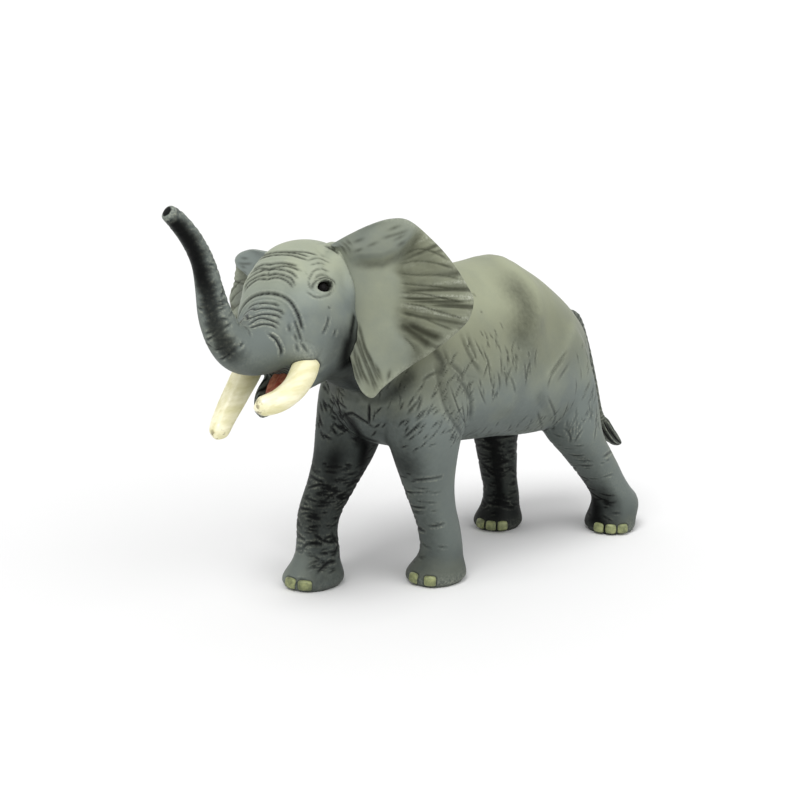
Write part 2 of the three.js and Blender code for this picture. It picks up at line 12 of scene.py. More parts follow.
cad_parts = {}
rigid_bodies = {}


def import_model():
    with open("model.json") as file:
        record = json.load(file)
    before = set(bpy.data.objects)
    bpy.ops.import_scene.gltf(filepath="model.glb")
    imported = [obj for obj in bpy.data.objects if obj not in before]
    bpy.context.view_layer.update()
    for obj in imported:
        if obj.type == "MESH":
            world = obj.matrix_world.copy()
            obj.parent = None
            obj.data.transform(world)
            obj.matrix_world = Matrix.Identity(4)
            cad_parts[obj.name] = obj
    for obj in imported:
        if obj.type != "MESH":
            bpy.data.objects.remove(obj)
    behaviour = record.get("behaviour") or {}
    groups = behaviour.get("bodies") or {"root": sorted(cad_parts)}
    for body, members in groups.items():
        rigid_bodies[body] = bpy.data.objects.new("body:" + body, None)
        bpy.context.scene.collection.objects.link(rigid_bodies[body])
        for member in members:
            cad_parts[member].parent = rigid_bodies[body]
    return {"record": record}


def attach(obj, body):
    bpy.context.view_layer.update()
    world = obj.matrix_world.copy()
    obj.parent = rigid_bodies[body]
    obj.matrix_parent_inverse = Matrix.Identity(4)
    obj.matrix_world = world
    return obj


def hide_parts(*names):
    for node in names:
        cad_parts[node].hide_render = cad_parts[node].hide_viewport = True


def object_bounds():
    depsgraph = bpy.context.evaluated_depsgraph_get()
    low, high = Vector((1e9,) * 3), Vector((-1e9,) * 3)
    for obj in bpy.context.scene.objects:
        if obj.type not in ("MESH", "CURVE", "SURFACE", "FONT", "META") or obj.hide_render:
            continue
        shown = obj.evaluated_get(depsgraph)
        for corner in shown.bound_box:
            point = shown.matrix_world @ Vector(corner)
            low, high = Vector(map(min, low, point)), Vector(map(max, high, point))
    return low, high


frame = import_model()
CAD_LOW, CAD_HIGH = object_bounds()
MM = 0.001

# Sizes of the moulded figure
BODY_LENGTH = 100 * MM
BODY_WIDTH = 50 * MM
BACK_HEIGHT = 100 * MM
LEG_THICKNESS = 20 * MM
HEAD_LENGTH = 50 * MM
HEAD_WIDTH = 36 * MM
HEAD_HEIGHT = 40 * MM
TRUNK_REACH = 50 * MM
TRUNK_THICKNESS = 16 * MM
EAR_REACH = 36 * MM
EAR_HEIGHT = 58 * MM
TUSK_REACH = 30 * MM
TUSK_THICKNESS = 8 * MM
JAW_LENGTH = 30 * MM
JAW_WIDTH = 16 * MM
TAIL_LENGTH = 55 * MM
TAIL_THICKNESS = 4 * MM
EYE_RADIUS = 2.4 * MM

# Head carriage: turned towards its left, with the left side raised
HEAD_YAW = math.radians(8)
HEAD_ROLL = math.radians(10)
NECK_ALONG = -0.5 * BODY_LENGTH
NECK_HEIGHT = 0.92 * BACK_HEIGHT

# The eyes' own places in the head's frame
EYE_PLACE = (0.35 * HEAD_WIDTH, -0.6 * HEAD_LENGTH, 0.19 * HEAD_HEIGHT)

# Toenail plates: how thick and tall, how deep they are set and how high their middle is
NAIL_THICKNESS = 3.2 * MM
NAIL_HEIGHT = 3.5 * MM
NAIL_SINK = 0.75 * MM
NAIL_RISE = 2.2 * MM
NAIL_LEAN = math.radians(-9)
NAIL_STATION = 2

# Round ends of the tusks and the tail, and the groove along the tongue
TUSK_END_RADIUS = 2.6 * MM
TAIL_END_RADIUS = 2.2 * MM
TONGUE_GROOVE_DEPTH = 0.7 * MM
TONGUE_GROOVE_WIDTH = 0.9 * MM

# Round each eye: the oval that its forms follow, how far they reach, and the socket in the middle
EYE_OVAL_SHARES = (0.84, 0.84, 1.5)
EYE_REACH = 4 * MM
EYE_FADE = 2 * MM
SOCKET_DEPTH = 1.7 * MM
SOCKET_EDGE = (2.35 * MM, 1.9 * MM)
SOCKET_PAINT_EDGE = (2.75 * MM, 2 * MM)

# The lid round the socket, fuller above than below, and the crease over it
LID_LEVELS = (-0.4 * MM, 0.8 * MM)
LID_HEIGHT = 0.25 * MM
UPPER_LID_EXTRA = 0.4 * MM
LID_PLACE = 2.6 * MM
LID_WIDTH = 0.42 * MM
CREASE_DEPTH = 0.3 * MM
CREASE_PLACE = 3.5 * MM
CREASE_WIDTH = 0.35 * MM

# Cross-wrinkles of the trunk: where they start and end along it, and the gaps between them
TRUNK_RINGS_START_SHARE = 0.4
TRUNK_RINGS_END_SHARE = 0.985
LOWER_RING_GAP = 1.7 * MM
UPPER_RING_GAP = 1.2 * MM

# Their depth and width in mm, raised lip and paint
TRUNK_CARVING = {"back": (0.2, 0.4, 0.2, 0.5), "front": (0.24, 0.38, 0.3, 0.8)}
NOSTRIL_SHARE = 0.62

# Across a carved line, on its width: how far it reaches, its raised lips, and its paint
GROOVE_REACH_SHARE = 3.2
LIP_PLACE_SHARE = 1.9
LIP_WIDTH_SHARE = 0.8
GROOVE_PAINT_SHARE = 0.95

# Steps along lines, in pixels and on the hide, and how near the middle plane two halves are joined
PIXEL_STEP = 1.5
LINE_STEP = 0.5 * MM
MIDDLE_SLACK = 0.2 * MM
MIDDLE_REACH = 1.2 * MM
SOLE_REACH = 0.35 * MM

# The trunk's black strip: places along it, angles in degrees from the animal's left, and half widths
STRIP_SHARES = (0.5, 0.62, 0.68, 0.74, 0.85)
STRIP_ANGLES = (-54, -54, -70, -76, -60)
STRIP_WIDTHS = (32, 44, 58, 62, 64)

# Painted shade: how far it spreads round the ears' roots and along the seams, and where the ears' is
# deep
EAR_SHADE_REACH = 1.3 * MM
EAR_SHADE_LEVELS = (-1 * MM, -7 * MM)
SEAM_SHADE_REACH = 0.4 * MM

# Depths of the hide's hollows that take the full wash and painted shade, and of the grain in each paint
FINE_RELIEF = 0.09 * MM
BROAD_RELIEF = 0.5 * MM
HIDE_GRAIN_DEPTH = 0.12 * MM
TUSK_STREAK_DEPTH = 0.2 * MM
PAINT_BLOTCH_DEPTH = 0.15 * MM

# The mouth's floor in the head's frame, in mm: along and height
MOUTH_FLOOR = [(-48.6, -23.5), (-45, -18.5), (-39, -14.6), (-31.5, -11.5)]

# The studio, in metres: the floor's half side, how far it lies under the soles, and the sky's light
FLOOR_HALF = 40.0
FLOOR_DROP = 0.1 * MM
WORLD_LIGHT = 0.62

# Fineness of the ears' sheets
EAR_COLUMNS = 260
EAR_ROWS = 112

# Fineness of the moulded skin
VOXEL = 0.5 * MM
ROUND_POWER = 2.2
LOFT_SIDES = 64
LOFT_STEPS = 6
TUSK_SIDES = 48
TAIL_SIDES = 72
END_STEPS = 12
SPINE_STEPS = 24
SEED = 11

# Camera matched to the photo, which is this many pixels wide and high
PHOTO_SIDE = 800
PHOTO_FOCAL = 1680
SENSOR_WIDTH = 36.0
CAMERA_AZIMUTH = math.radians(46)
CAMERA_ELEVATION = math.radians(14)
CAMERA_DISTANCE = 546 * MM
CAMERA_NEAR = 10 * MM
CAMERA_FAR = 200.0
CAMERA_AIM = Vector((-10.84, -21.54, 54.6)) * MM

# Torso stations: along, top, bottom, width and pinch
TORSO_SHARES = [
    (-0.53, 0.7, 0.6, 0.2, 0.0),
    (-0.5, 0.82, 0.51, 0.54, 0.05),
    (-0.42, 0.92, 0.46, 0.76, 0.16),
    (-0.3, 0.975, 0.44, 0.88, 0.22),
    (-0.14, 0.985, 0.425, 0.94, 0.26),
    (0.02, 0.995, 0.41, 0.97, 0.28),
    (0.12, 0.99, 0.395, 0.97, 0.3),
    (0.24, 0.935, 0.39, 0.94, 0.3),
    (0.35, 0.86, 0.41, 0.81, 0.24),
    (0.435, 0.79, 0.465, 0.58, 0.15),
    (0.485, 0.735, 0.53, 0.36, 0.0),
    (0.515, 0.68, 0.58, 0.12, 0.0),
]

# Leg stations: height, side, along, then across and depth on the leg thickness
LEG_SHARES = {
    "front_left_leg": [
        (0.0, 0.21, -0.262, 0.78, 0.84),
        (0.012, 0.21, -0.262, 0.94, 1.0),
        (0.035, 0.21, -0.258, 0.9, 0.96),
        (0.075, 0.215, -0.245, 0.7, 0.74),
        (0.11, 0.22, -0.242, 0.64, 0.7),
        (0.18, 0.225, -0.258, 0.63, 0.71),
        (0.25, 0.23, -0.284, 0.64, 0.75),
        (0.33, 0.24, -0.309, 0.71, 0.86),
        (0.42, 0.26, -0.333, 0.84, 1.08),
        (0.52, 0.285, -0.35, 0.94, 1.34),
        (0.64, 0.3, -0.345, 0.94, 1.5),
        (0.76, 0.29, -0.33, 0.84, 1.2),
        (0.84, 0.27, -0.31, 0.5, 0.7),
    ],
    "front_right_leg": [
        (0.0, -0.28, -0.572, 0.78, 0.86),
        (0.012, -0.28, -0.572, 0.94, 1.02),
        (0.035, -0.28, -0.568, 0.9, 0.98),
        (0.075, -0.28, -0.558, 0.72, 0.76),
        (0.116, -0.28, -0.55, 0.66, 0.7),
        (0.17, -0.28, -0.552, 0.62, 0.66),
        (0.225, -0.28, -0.54, 0.64, 0.72),
        (0.3, -0.275, -0.495, 0.7, 0.86),
        (0.4, -0.27, -0.438, 0.82, 1.08),
        (0.5, -0.28, -0.4, 0.92, 1.26),
        (0.62, -0.29, -0.37, 0.94, 1.32),
        (0.74, -0.285, -0.34, 0.84, 1.14),
        (0.82, -0.27, -0.32, 0.5, 0.7),
    ],
    "rear_left_leg": [
        (0.0, 0.33, 0.555, 0.76, 0.78),
        (0.012, 0.33, 0.555, 0.92, 0.94),
        (0.035, 0.33, 0.558, 0.92, 0.94),
        (0.07, 0.33, 0.568, 0.84, 0.86),
        (0.11, 0.33, 0.565, 0.76, 0.78),
        (0.165, 0.325, 0.525, 0.72, 0.76),
        (0.22, 0.32, 0.48, 0.72, 0.8),
        (0.3, 0.31, 0.418, 0.8, 0.92),
        (0.38, 0.3, 0.354, 0.9, 1.04),
        (0.5, 0.28, 0.313, 0.98, 1.25),
        (0.62, 0.27, 0.277, 1.0, 1.24),
        (0.74, 0.25, 0.245, 0.84, 1.06),
        (0.81, 0.21, 0.2, 0.44, 0.6),
    ],
    "rear_right_leg": [
        (0.0, -0.26, 0.285, 0.68, 0.72),
        (0.012, -0.26, 0.285, 0.82, 0.88),
        (0.035, -0.26, 0.288, 0.8, 0.86),
        (0.07, -0.26, 0.295, 0.66, 0.7),
        (0.12, -0.26, 0.3, 0.6, 0.62),
        (0.2, -0.26, 0.285, 0.62, 0.64),
        (0.31, -0.26, 0.27, 0.7, 0.76),
        (0.38, -0.27, 0.275, 0.82, 0.96),
        (0.5, -0.28, 0.29, 1.0, 1.36),
        (0.62, -0.27, 0.28, 1.02, 1.38),
        (0.74, -0.25, 0.25, 0.84, 1.1),
        (0.81, -0.21, 0.2, 0.44, 0.6),
    ],
}

# Head stations, from the neck forwards: along, top, bottom, width and pinch in the head's own frame
HEAD_SHARES = [
    (0.3, 0.14, -0.5, 0.7, 0.0),
    (0.16, 0.2, -0.66, 0.82, 0.0),
    (0.0, 0.3, -0.68, 0.82, 0.05),
    (-0.16, 0.42, -0.64, 0.78, 0.06),
    (-0.32, 0.52, -0.53, 0.82, 0.08),
    (-0.48, 0.55, -0.48, 0.9, 0.1),
    (-0.62, 0.515, -0.46, 0.9, 0.1),
    (-0.72, 0.385, -0.42, 0.83, 0.08),
    (-0.81, 0.17, -0.35, 0.68, 0.05),
    (-0.88, 0.02, -0.31, 0.5, 0.0),
    (-0.92, -0.08, -0.24, 0.2, 0.0),
]

# Trunk stations: along and height on the trunk reach, thickness on the trunk thickness
TRUNK_SHARES = [
    (-0.6, 0.0, 1.3),
    (-0.74, -0.05, 1.24),
    (-0.9, -0.11, 1.1),
    (-1.05, -0.11, 0.87),
    (-1.15, -0.035, 0.71),
    (-1.21, 0.1, 0.6),
    (-1.225, 0.26, 0.49),
    (-1.24, 0.4, 0.42),
    (-1.295, 0.53, 0.39),
    (-1.38, 0.645, 0.36),
    (-1.455, 0.71, 0.31),
]

# Tusk stations: side, along and height on the tusk reach from the tusk root, thickness on its own
TUSK_SHARES = {
    "tusk_left": [
        (-0.1, 0.2, 0.16, 0.8),
        (-0.02, 0.0, -0.03, 0.94),
        (0.03, -0.23, -0.17, 0.86),
        (0.02, -0.45, -0.25, 0.8),
        (-0.05, -0.61, -0.275, 0.7),
        (-0.1, -0.68, -0.28, 0.42),
    ],
    "tusk_right": [
        (0.06, 0.16, 0.24, 0.8),
        (0.0, 0.0, 0.0, 0.98),
        (-0.05, -0.18, -0.22, 0.92),
        (-0.07, -0.35, -0.4, 0.82),
        (-0.06, -0.48, -0.53, 0.7),
        (-0.05, -0.54, -0.59, 0.42),
    ],
}
TUSK_ROOT = (0.31 * HEAD_WIDTH, -0.78 * HEAD_LENGTH, -0.32 * HEAD_HEIGHT)

# Lower jaw and tongue stations: along, top and bottom on the jaw length, width on the jaw width
JAW_SHARES = [
    (0.1, 0.26, -0.2, 1.0, 0.0),
    (-0.1, 0.2, -0.26, 1.0, 0.0),
    (-0.35, 0.1, -0.3, 0.92, 0.0),
    (-0.6, -0.02, -0.36, 0.84, 0.0),
    (-0.8, -0.16, -0.42, 0.66, 0.0),
    (-0.92, -0.3, -0.46, 0.34, 0.0),
]
TONGUE_SHARES = [
    (-0.06, 0.16, 0.02, 0.3, 0.0),
    (-0.2, 0.13, -0.08, 0.48, 0.0),
    (-0.45, 0.03, -0.2, 0.48, 0.0),
    (-0.65, -0.1, -0.3, 0.42, 0.0),
    (-0.77, -0.2, -0.37, 0.22, 0.0),
]

# The hollow between the lips of the jaw: along and floor on the jaw length, width on the jaw width
MOUTH_HOLLOW_SHARES = [
    (-0.24, 0.06, 0.4),
    (-0.36, -0.04, 0.62),
    (-0.58, -0.16, 0.62),
    (-0.76, -0.29, 0.44),
    (-0.86, -0.34, 0.16),
]
JAW_ALONG = -0.42 * HEAD_LENGTH
JAW_RISE = -0.32 * HEAD_HEIGHT

# Tail stations: side, along and height on the tail length, thickness on the tail thickness
TAIL_SHARES = [
    (0.0, -0.12, 0.03, 1.2),
    (0.0, 0.0, 0.0, 1.1),
    (0.0, 0.105, -0.18, 0.86),
    (0.025, 0.17, -0.42, 0.7),
    (0.035, 0.23, -0.64, 0.66),
    (0.035, 0.28, -0.74, 1.1),
    (0.04, 0.37, -0.84, 1.0),
    (0.045, 0.46, -0.9, 0.3),
]
TAIL_ALONG = 0.52 * BODY_LENGTH
TAIL_RISE = 0.73 * BACK_HEIGHT

# Ear outline: from the top of the root round the rim to its foot, on the ear's reach and height
EAR_ROOT_SHARES = [(-0.1, 0.3), (-0.08, 0.12), (-0.02, -0.02), (0.0, -0.12)]
EAR_RIM_SHARES = [
    (-0.25, 0.31),
    (-0.12, 0.36),
    (0.05, 0.415),
    (0.22, 0.45),
    (0.37, 0.445),
    (0.54, 0.365),
    (0.71, 0.26),
    (0.86, 0.13),
    (0.92, 0.05),
    (0.88, -0.05),
    (0.76, -0.13),
    (0.58, -0.22),
    (0.36, -0.32),
    (0.21, -0.4),
    (0.13, -0.455),
    (0.05, -0.43),
    (-0.02, -0.355),
]
EAR_BAND_SHARES = np.array([(-0.19, 0.17), (-0.02, 0.226), (0.17, 0.236), (0.29, 0.27), (0.43, 0.364)])
EARS = {
    "ear_left": {"side": 1, "sweep": 38, "tilt": -10, "stretch": 1.0, "roll": 1.0},
    "ear_right": {"side": -1, "sweep": 9, "tilt": -14, "stretch": 0.87, "roll": 0.3},
}
EAR_PLACE = (0.42 * HEAD_WIDTH, -0.34 * HEAD_LENGTH, 0.0)
EAR_TENON = 4 * MM
EAR_ROOT_THICKNESS = 3.4 * MM
EAR_RIM_THICKNESS = 1.5 * MM
EAR_CUP = 4 * MM
EAR_TOP_ROLL = 3 * MM
EAR_FOLD_DEPTH = 0.9 * MM
EAR_FOLDS = 7
EAR_SMOOTH_SHARE = 0.4
EAR_LINE_TAPER = 3 * MM
EAR_OLIVE_LEVELS = (90 * MM, 120 * MM)

# The hide's weld round the ears' roots: how far it reaches and rises, and where on the head it starts
WELD_REACH = 2.4 * MM
WELD_RISE = 2.6 * MM
WELD_LEVELS = (-1 * MM, 9 * MM)

# Relief of an ear's face: the rolled band and what falls back over it, and the fold under the band
ROLL_RISE = 2.4 * MM
ROLL_RISE_SPAN = (-0.8 * MM, 3 * MM)
ROLL_FALL = 1.9 * MM
ROLL_FALL_SPAN = (3.5 * MM, 11 * MM)
BAND_EDGE = 2 * MM
BAND_FOLD_DEPTH = 0.55 * MM
BAND_FOLD_PLACE = -0.7 * MM
BAND_FOLD_WIDTH = 1.4 * MM

# The pleats of the ruffled part, and the dip just past the crease
PLEAT_HEIGHT = 0.45 * MM
DIP_DEPTH = 0.9 * MM
DIP_PLACE = 1.6 * MM
DIP_WIDTH = 2 * MM

# Toenails of each foot: their width, and their angles from straight ahead, positive towards the left
NAILS = {
    "front_left_leg": (4.3 * MM, (-82, -5, 34)),
    "front_right_leg": (5.0 * MM, (-78, 0, 34)),
    "rear_left_leg": (4.0 * MM, (10, 37, 63)),
    "rear_right_leg": (3.9 * MM, (-4, 27, 55)),
}

# The front left sole's mount gives the shift from the sizes' own origin to the figure's
sole = next(m for m in frame["record"]["mounts"] if m["name"] == "front_left_sole")["pos_m"]
FOOT = LEG_SHARES["front_left_leg"][0]
FIGURE_SHIFT = Vector((sole[0] - FOOT[1] * BODY_WIDTH, sole[1] - FOOT[2] * BODY_LENGTH, 0.0))

HEAD_FRAME = (
    Matrix.Translation(FIGURE_SHIFT + Vector((0.0, NECK_ALONG, NECK_HEIGHT)))
    @ Matrix.Rotation(HEAD_YAW, 4, "Z")
    @ Matrix.Rotation(-HEAD_ROLL, 4, "Y")
)
CAMERA_BACK = Vector((
    math.sin(CAMERA_AZIMUTH) * math.cos(CAMERA_ELEVATION),
    -math.cos(CAMERA_AZIMUTH) * math.cos(CAMERA_ELEVATION),
    math.sin(CAMERA_ELEVATION),
))
CAMERA_PLACE = CAMERA_AIM + FIGURE_SHIFT + CAMERA_BACK * CAMERA_DISTANCE


# Points and frames

def moved(points, matrix):
    """An array of points, moved by a matrix."""
    m = np.array(matrix)
    return np.asarray(points, float) @ m[:3, :3].T + m[:3, 3]


def on_head(points):
    """Places in the head's own frame, as places on the part."""
    return moved(points, HEAD_FRAME)


def in_head(points):
    """Places on the part, in the head's own frame."""
    return moved(points, HEAD_FRAME.inverted())


def on_figure(points):
    """Places measured from the sizes' own origin, as places on the part."""
    return np.asarray(points, float) + np.array(FIGURE_SHIFT)


def rows_at(rows, places):
    """Rows at some places along a Catmull-Rom curve through them."""
    p = np.array(rows, float)
    before = np.vstack([p[:1], p[:-1]])
    after = np.vstack([p[1:], p[-1:]])
    slopes = (after - before) / 2
    i = np.minimum(np.floor(places).astype(int), len(p) - 2)
    t = (np.asarray(places) - i)[:, None]
    rise = p[i + 1] - p[i]
    bend = 3 * rise - 2 * slopes[i] - slopes[i + 1]
    twist = slopes[i] + slopes[i + 1] - 2 * rise
    return p[i] + t * (slopes[i] + t * (bend + t * twist))


def smooth_rows(rows, steps=LOFT_STEPS):
    """Rows with steps between each two."""
    spans = len(rows) - 1
    return rows_at(rows, np.linspace(0, spans, spans * steps + 1))


def smoothstep(low, high, value):
    """0 at low and 1 at high, with a soft start and end."""
    t = np.clip((value - low) / (high - low), 0, 1)
    return t * t * (3 - 2 * t)


def between(value, low, full, fading, high):
    """1 from full to fading, falling softly to 0 at low and at high."""
    return smoothstep(low, full, value) * smoothstep(high, fading, value)


def bell(value, width):
    """1 at nought, falling softly on both sides."""
    return np.exp(-(value / width) ** 2)


# Lofted forms

def ring_shape(pinch=0.0, sides=LOFT_SIDES):
    """A rounded square of half size 1, pinched towards its top, as (across, up) points."""
    angle = 2 * math.pi * (np.arange(sides) + 0.5) / sides

    def bend(v):
        return np.sign(v) * np.abs(v) ** (2 / ROUND_POWER)

    return bend(np.cos(angle)) * (1 - pinch * np.sin(angle)), bend(np.sin(angle))


def slab_rings(rows, length, height, width):
    """Upright rings along Y: the rows are along, top, bottom, width and pinch."""
    rings = []
    for along, top, bottom, wide, pinch in smooth_rows(rows):
        across, up = ring_shape(pinch)
        x = across * wide * width / 2
        z = (top + bottom) / 2 * height + up * (top - bottom) / 2 * height
        rings.append(np.stack([x, np.full_like(x, along * length), z], 1))
    return rings


def leg_rings(name):
    """Level rings up a leg."""
    rings = []
    for height, side, along, wide, deep in smooth_rows(LEG_SHARES[name]):
        across, up = ring_shape()
        x = side * BODY_WIDTH + across * wide * LEG_THICKNESS / 2
        y = along * BODY_LENGTH + up * deep * LEG_THICKNESS / 2
        rings.append(np.stack([x, y, np.full_like(x, height * BACK_HEIGHT)], 1))
    return rings


def path_rings(rows, sides=LOFT_SIDES, steps=LOFT_STEPS):
    """Rings square to a path, whose rows are x, y, z and thickness in metres."""
    rows = smooth_rows(rows, steps)
    points = rows[:, :3]
    along = np.gradient(points, axis=0)
    along /= np.linalg.norm(along, axis=1)[:, None]
    rings = []
    for point, direction, thick in zip(points, along, rows[:, 3]):
        across = np.array([1.0, 0, 0]) - direction * direction[0]
        across /= np.linalg.norm(across)
        up = np.cross(direction, across)
        a, b = ring_shape(sides=sides)
        rings.append(point + (a[:, None] * across + b[:, None] * up) * thick / 2)
    return rings


def scaled_rows(rows, start, reach, thickness, side=1):
    """Rows of side, along, height and thickness shares as metres from a start point."""
    return [
        (
            side * start[0] + across * reach,
            start[1] + along * reach,
            start[2] + up * reach,
            thick * thickness,
        )
        for across, along, up, thick in rows
    ]


def trunk_rows():
    """The trunk's path and thickness in the head's frame."""
    return [
        (0.0, along * TRUNK_REACH, up * TRUNK_REACH, thick * TRUNK_THICKNESS)
        for along, up, thick in TRUNK_SHARES
    ]


def tail_rows():
    """The tail's path and thickness."""
    return scaled_rows(TAIL_SHARES, (0.0, TAIL_ALONG, TAIL_RISE), TAIL_LENGTH, TAIL_THICKNESS)


def mesh_of(name, points, faces):
    """A mesh of points and faces."""
    mesh = bpy.data.meshes.new(name)
    mesh.from_pydata([tuple(p) for p in points], [], [tuple(f) for f in faces])
    mesh.validate()
    mesh.update()
    return mesh


def skin_over(rings):
    """Points and faces of a closed skin over a row of rings."""
    sides = len(rings[0])
    points = [p for ring in rings for p in ring]
    faces = []
    for i in range(len(rings) - 1):
        for k in range(sides):
            a = i * sides + k
            b = i * sides + (k + 1) % sides
            faces.append((a, b, b + sides, a + sides))
    for i in (0, len(rings) - 1):
        points.append(np.mean(rings[i], 0))
        for k in range(sides):
            a = i * sides + k
            b = i * sides + (k + 1) % sides
            faces.append((len(points) - 1, a, b) if i else (len(points) - 1, b, a))
    return np.array(points), faces


def facing_out(mesh):
    """Turns a closed mesh's faces outwards."""
    bm = bmesh.new()
    bm.from_mesh(mesh)
    bmesh.ops.recalc_face_normals(bm, faces=bm.faces)
    bm.to_mesh(mesh)
    bm.free()
    return mesh


def form_object(name, points, faces):
    """An object of a closed form, with its faces outwards."""
    made = bpy.data.objects.new(name, facing_out(mesh_of(name, points, faces)))
    bpy.context.scene.collection.objects.link(made)
    return made


def evaluated_mesh(made):
    """The object's mesh with its modifiers applied; the object itself is removed."""
    graph = bpy.context.evaluated_depsgraph_get()
    mesh = bpy.data.meshes.new_from_object(made.evaluated_get(graph))
    bpy.data.objects.remove(made)
    return mesh


def fused(forms, voxel):
    """One skin over several closed forms, as points and quads."""
    points, faces = [], []
    for p, f in forms:
        offset = len(points)
        points.extend(p)
        faces.extend([tuple(i + offset for i in face) for face in f])
    made = form_object("fused", np.array(points), faces)
    remesh = made.modifiers.new("one_skin", "REMESH")
    remesh.mode = "VOXEL"
    remesh.voxel_size = voxel
    remesh.adaptivity = 0
    mesh = evaluated_mesh(made)
    co = np.zeros(len(mesh.vertices) * 3)
    mesh.vertices.foreach_get("co", co)
    quads = np.zeros(len(mesh.loops), np.int64)
    mesh.loops.foreach_get("vertex_index", quads)
    return co.reshape(-1, 3), quads.reshape(-1, 4)


# Lines drawn on the photo, laid on the surface behind them

def photo_ray(u, v):
    """The way that the camera looks through a pixel of the photo."""
    right = Vector((math.cos(CAMERA_AZIMUTH), math.sin(CAMERA_AZIMUTH), 0.0))
    up = CAMERA_BACK.cross(right)
    middle = PHOTO_SIDE / 2
    ahead = right * (u - middle) / PHOTO_FOCAL - up * (v - middle) / PHOTO_FOCAL - CAMERA_BACK
    return ahead.normalized()


def curve_through(points, step):
    """Points about a step apart along a smooth line through the given ones."""
    p = np.array(points, float)
    if len(p) < 2:
        return p
    padded = np.vstack([2 * p[0] - p[1], p, 2 * p[-1] - p[-2]])
    out = []
    for i in range(len(p) - 1):
        count = max(int(np.linalg.norm(p[i + 1] - p[i]) / step), 1)
        t = (np.arange(count) / count)[:, None]
        a, b, c, d = padded[i:i + 4]
        out.append(0.5 * (2 * b + (c - a) * t + (2 * a - 5 * b + 4 * c - d) * t ** 2
                          + (3 * b - a - 3 * c + d) * t ** 3))
    return np.vstack([*out, p[-1:]])


def traced(line, tree):
    """A line of photo pixels as a line on the surface that the tree holds."""
    hits = []
    for u, v in curve_through(line, PIXEL_STEP):
        hit = tree.ray_cast(CAMERA_PLACE, photo_ray(u, v))[0]
        if hit is not None:
            hits.append(hit)
    return np.array(hits).reshape(-1, 3)


def laid_on(points, tree):
    """Points moved to the nearest place on a surface."""
    found = [tree.find_nearest(Vector(p))[0] for p in points]
    return np.array([p for p in found if p is not None]).reshape(-1, 3)


def mirrored(line, frame_matrix, tree):
    """The same line on the other side of a frame's middle plane."""
    local = moved(line, frame_matrix.inverted())
    local[:, 0] *= -1
    return laid_on(moved(local, frame_matrix), tree)


FIGURE_FRAME = Matrix.Translation(FIGURE_SHIFT)


# The hide: one skin that is shaped, wrinkled and then parted where the figure's own pieces meet

def quad_sides(quads):
    """The sides of quads as pairs of points, every first side before every second one."""
    return np.vstack([quads[:, [i, (i + 1) % 4]] for i in range(4)])


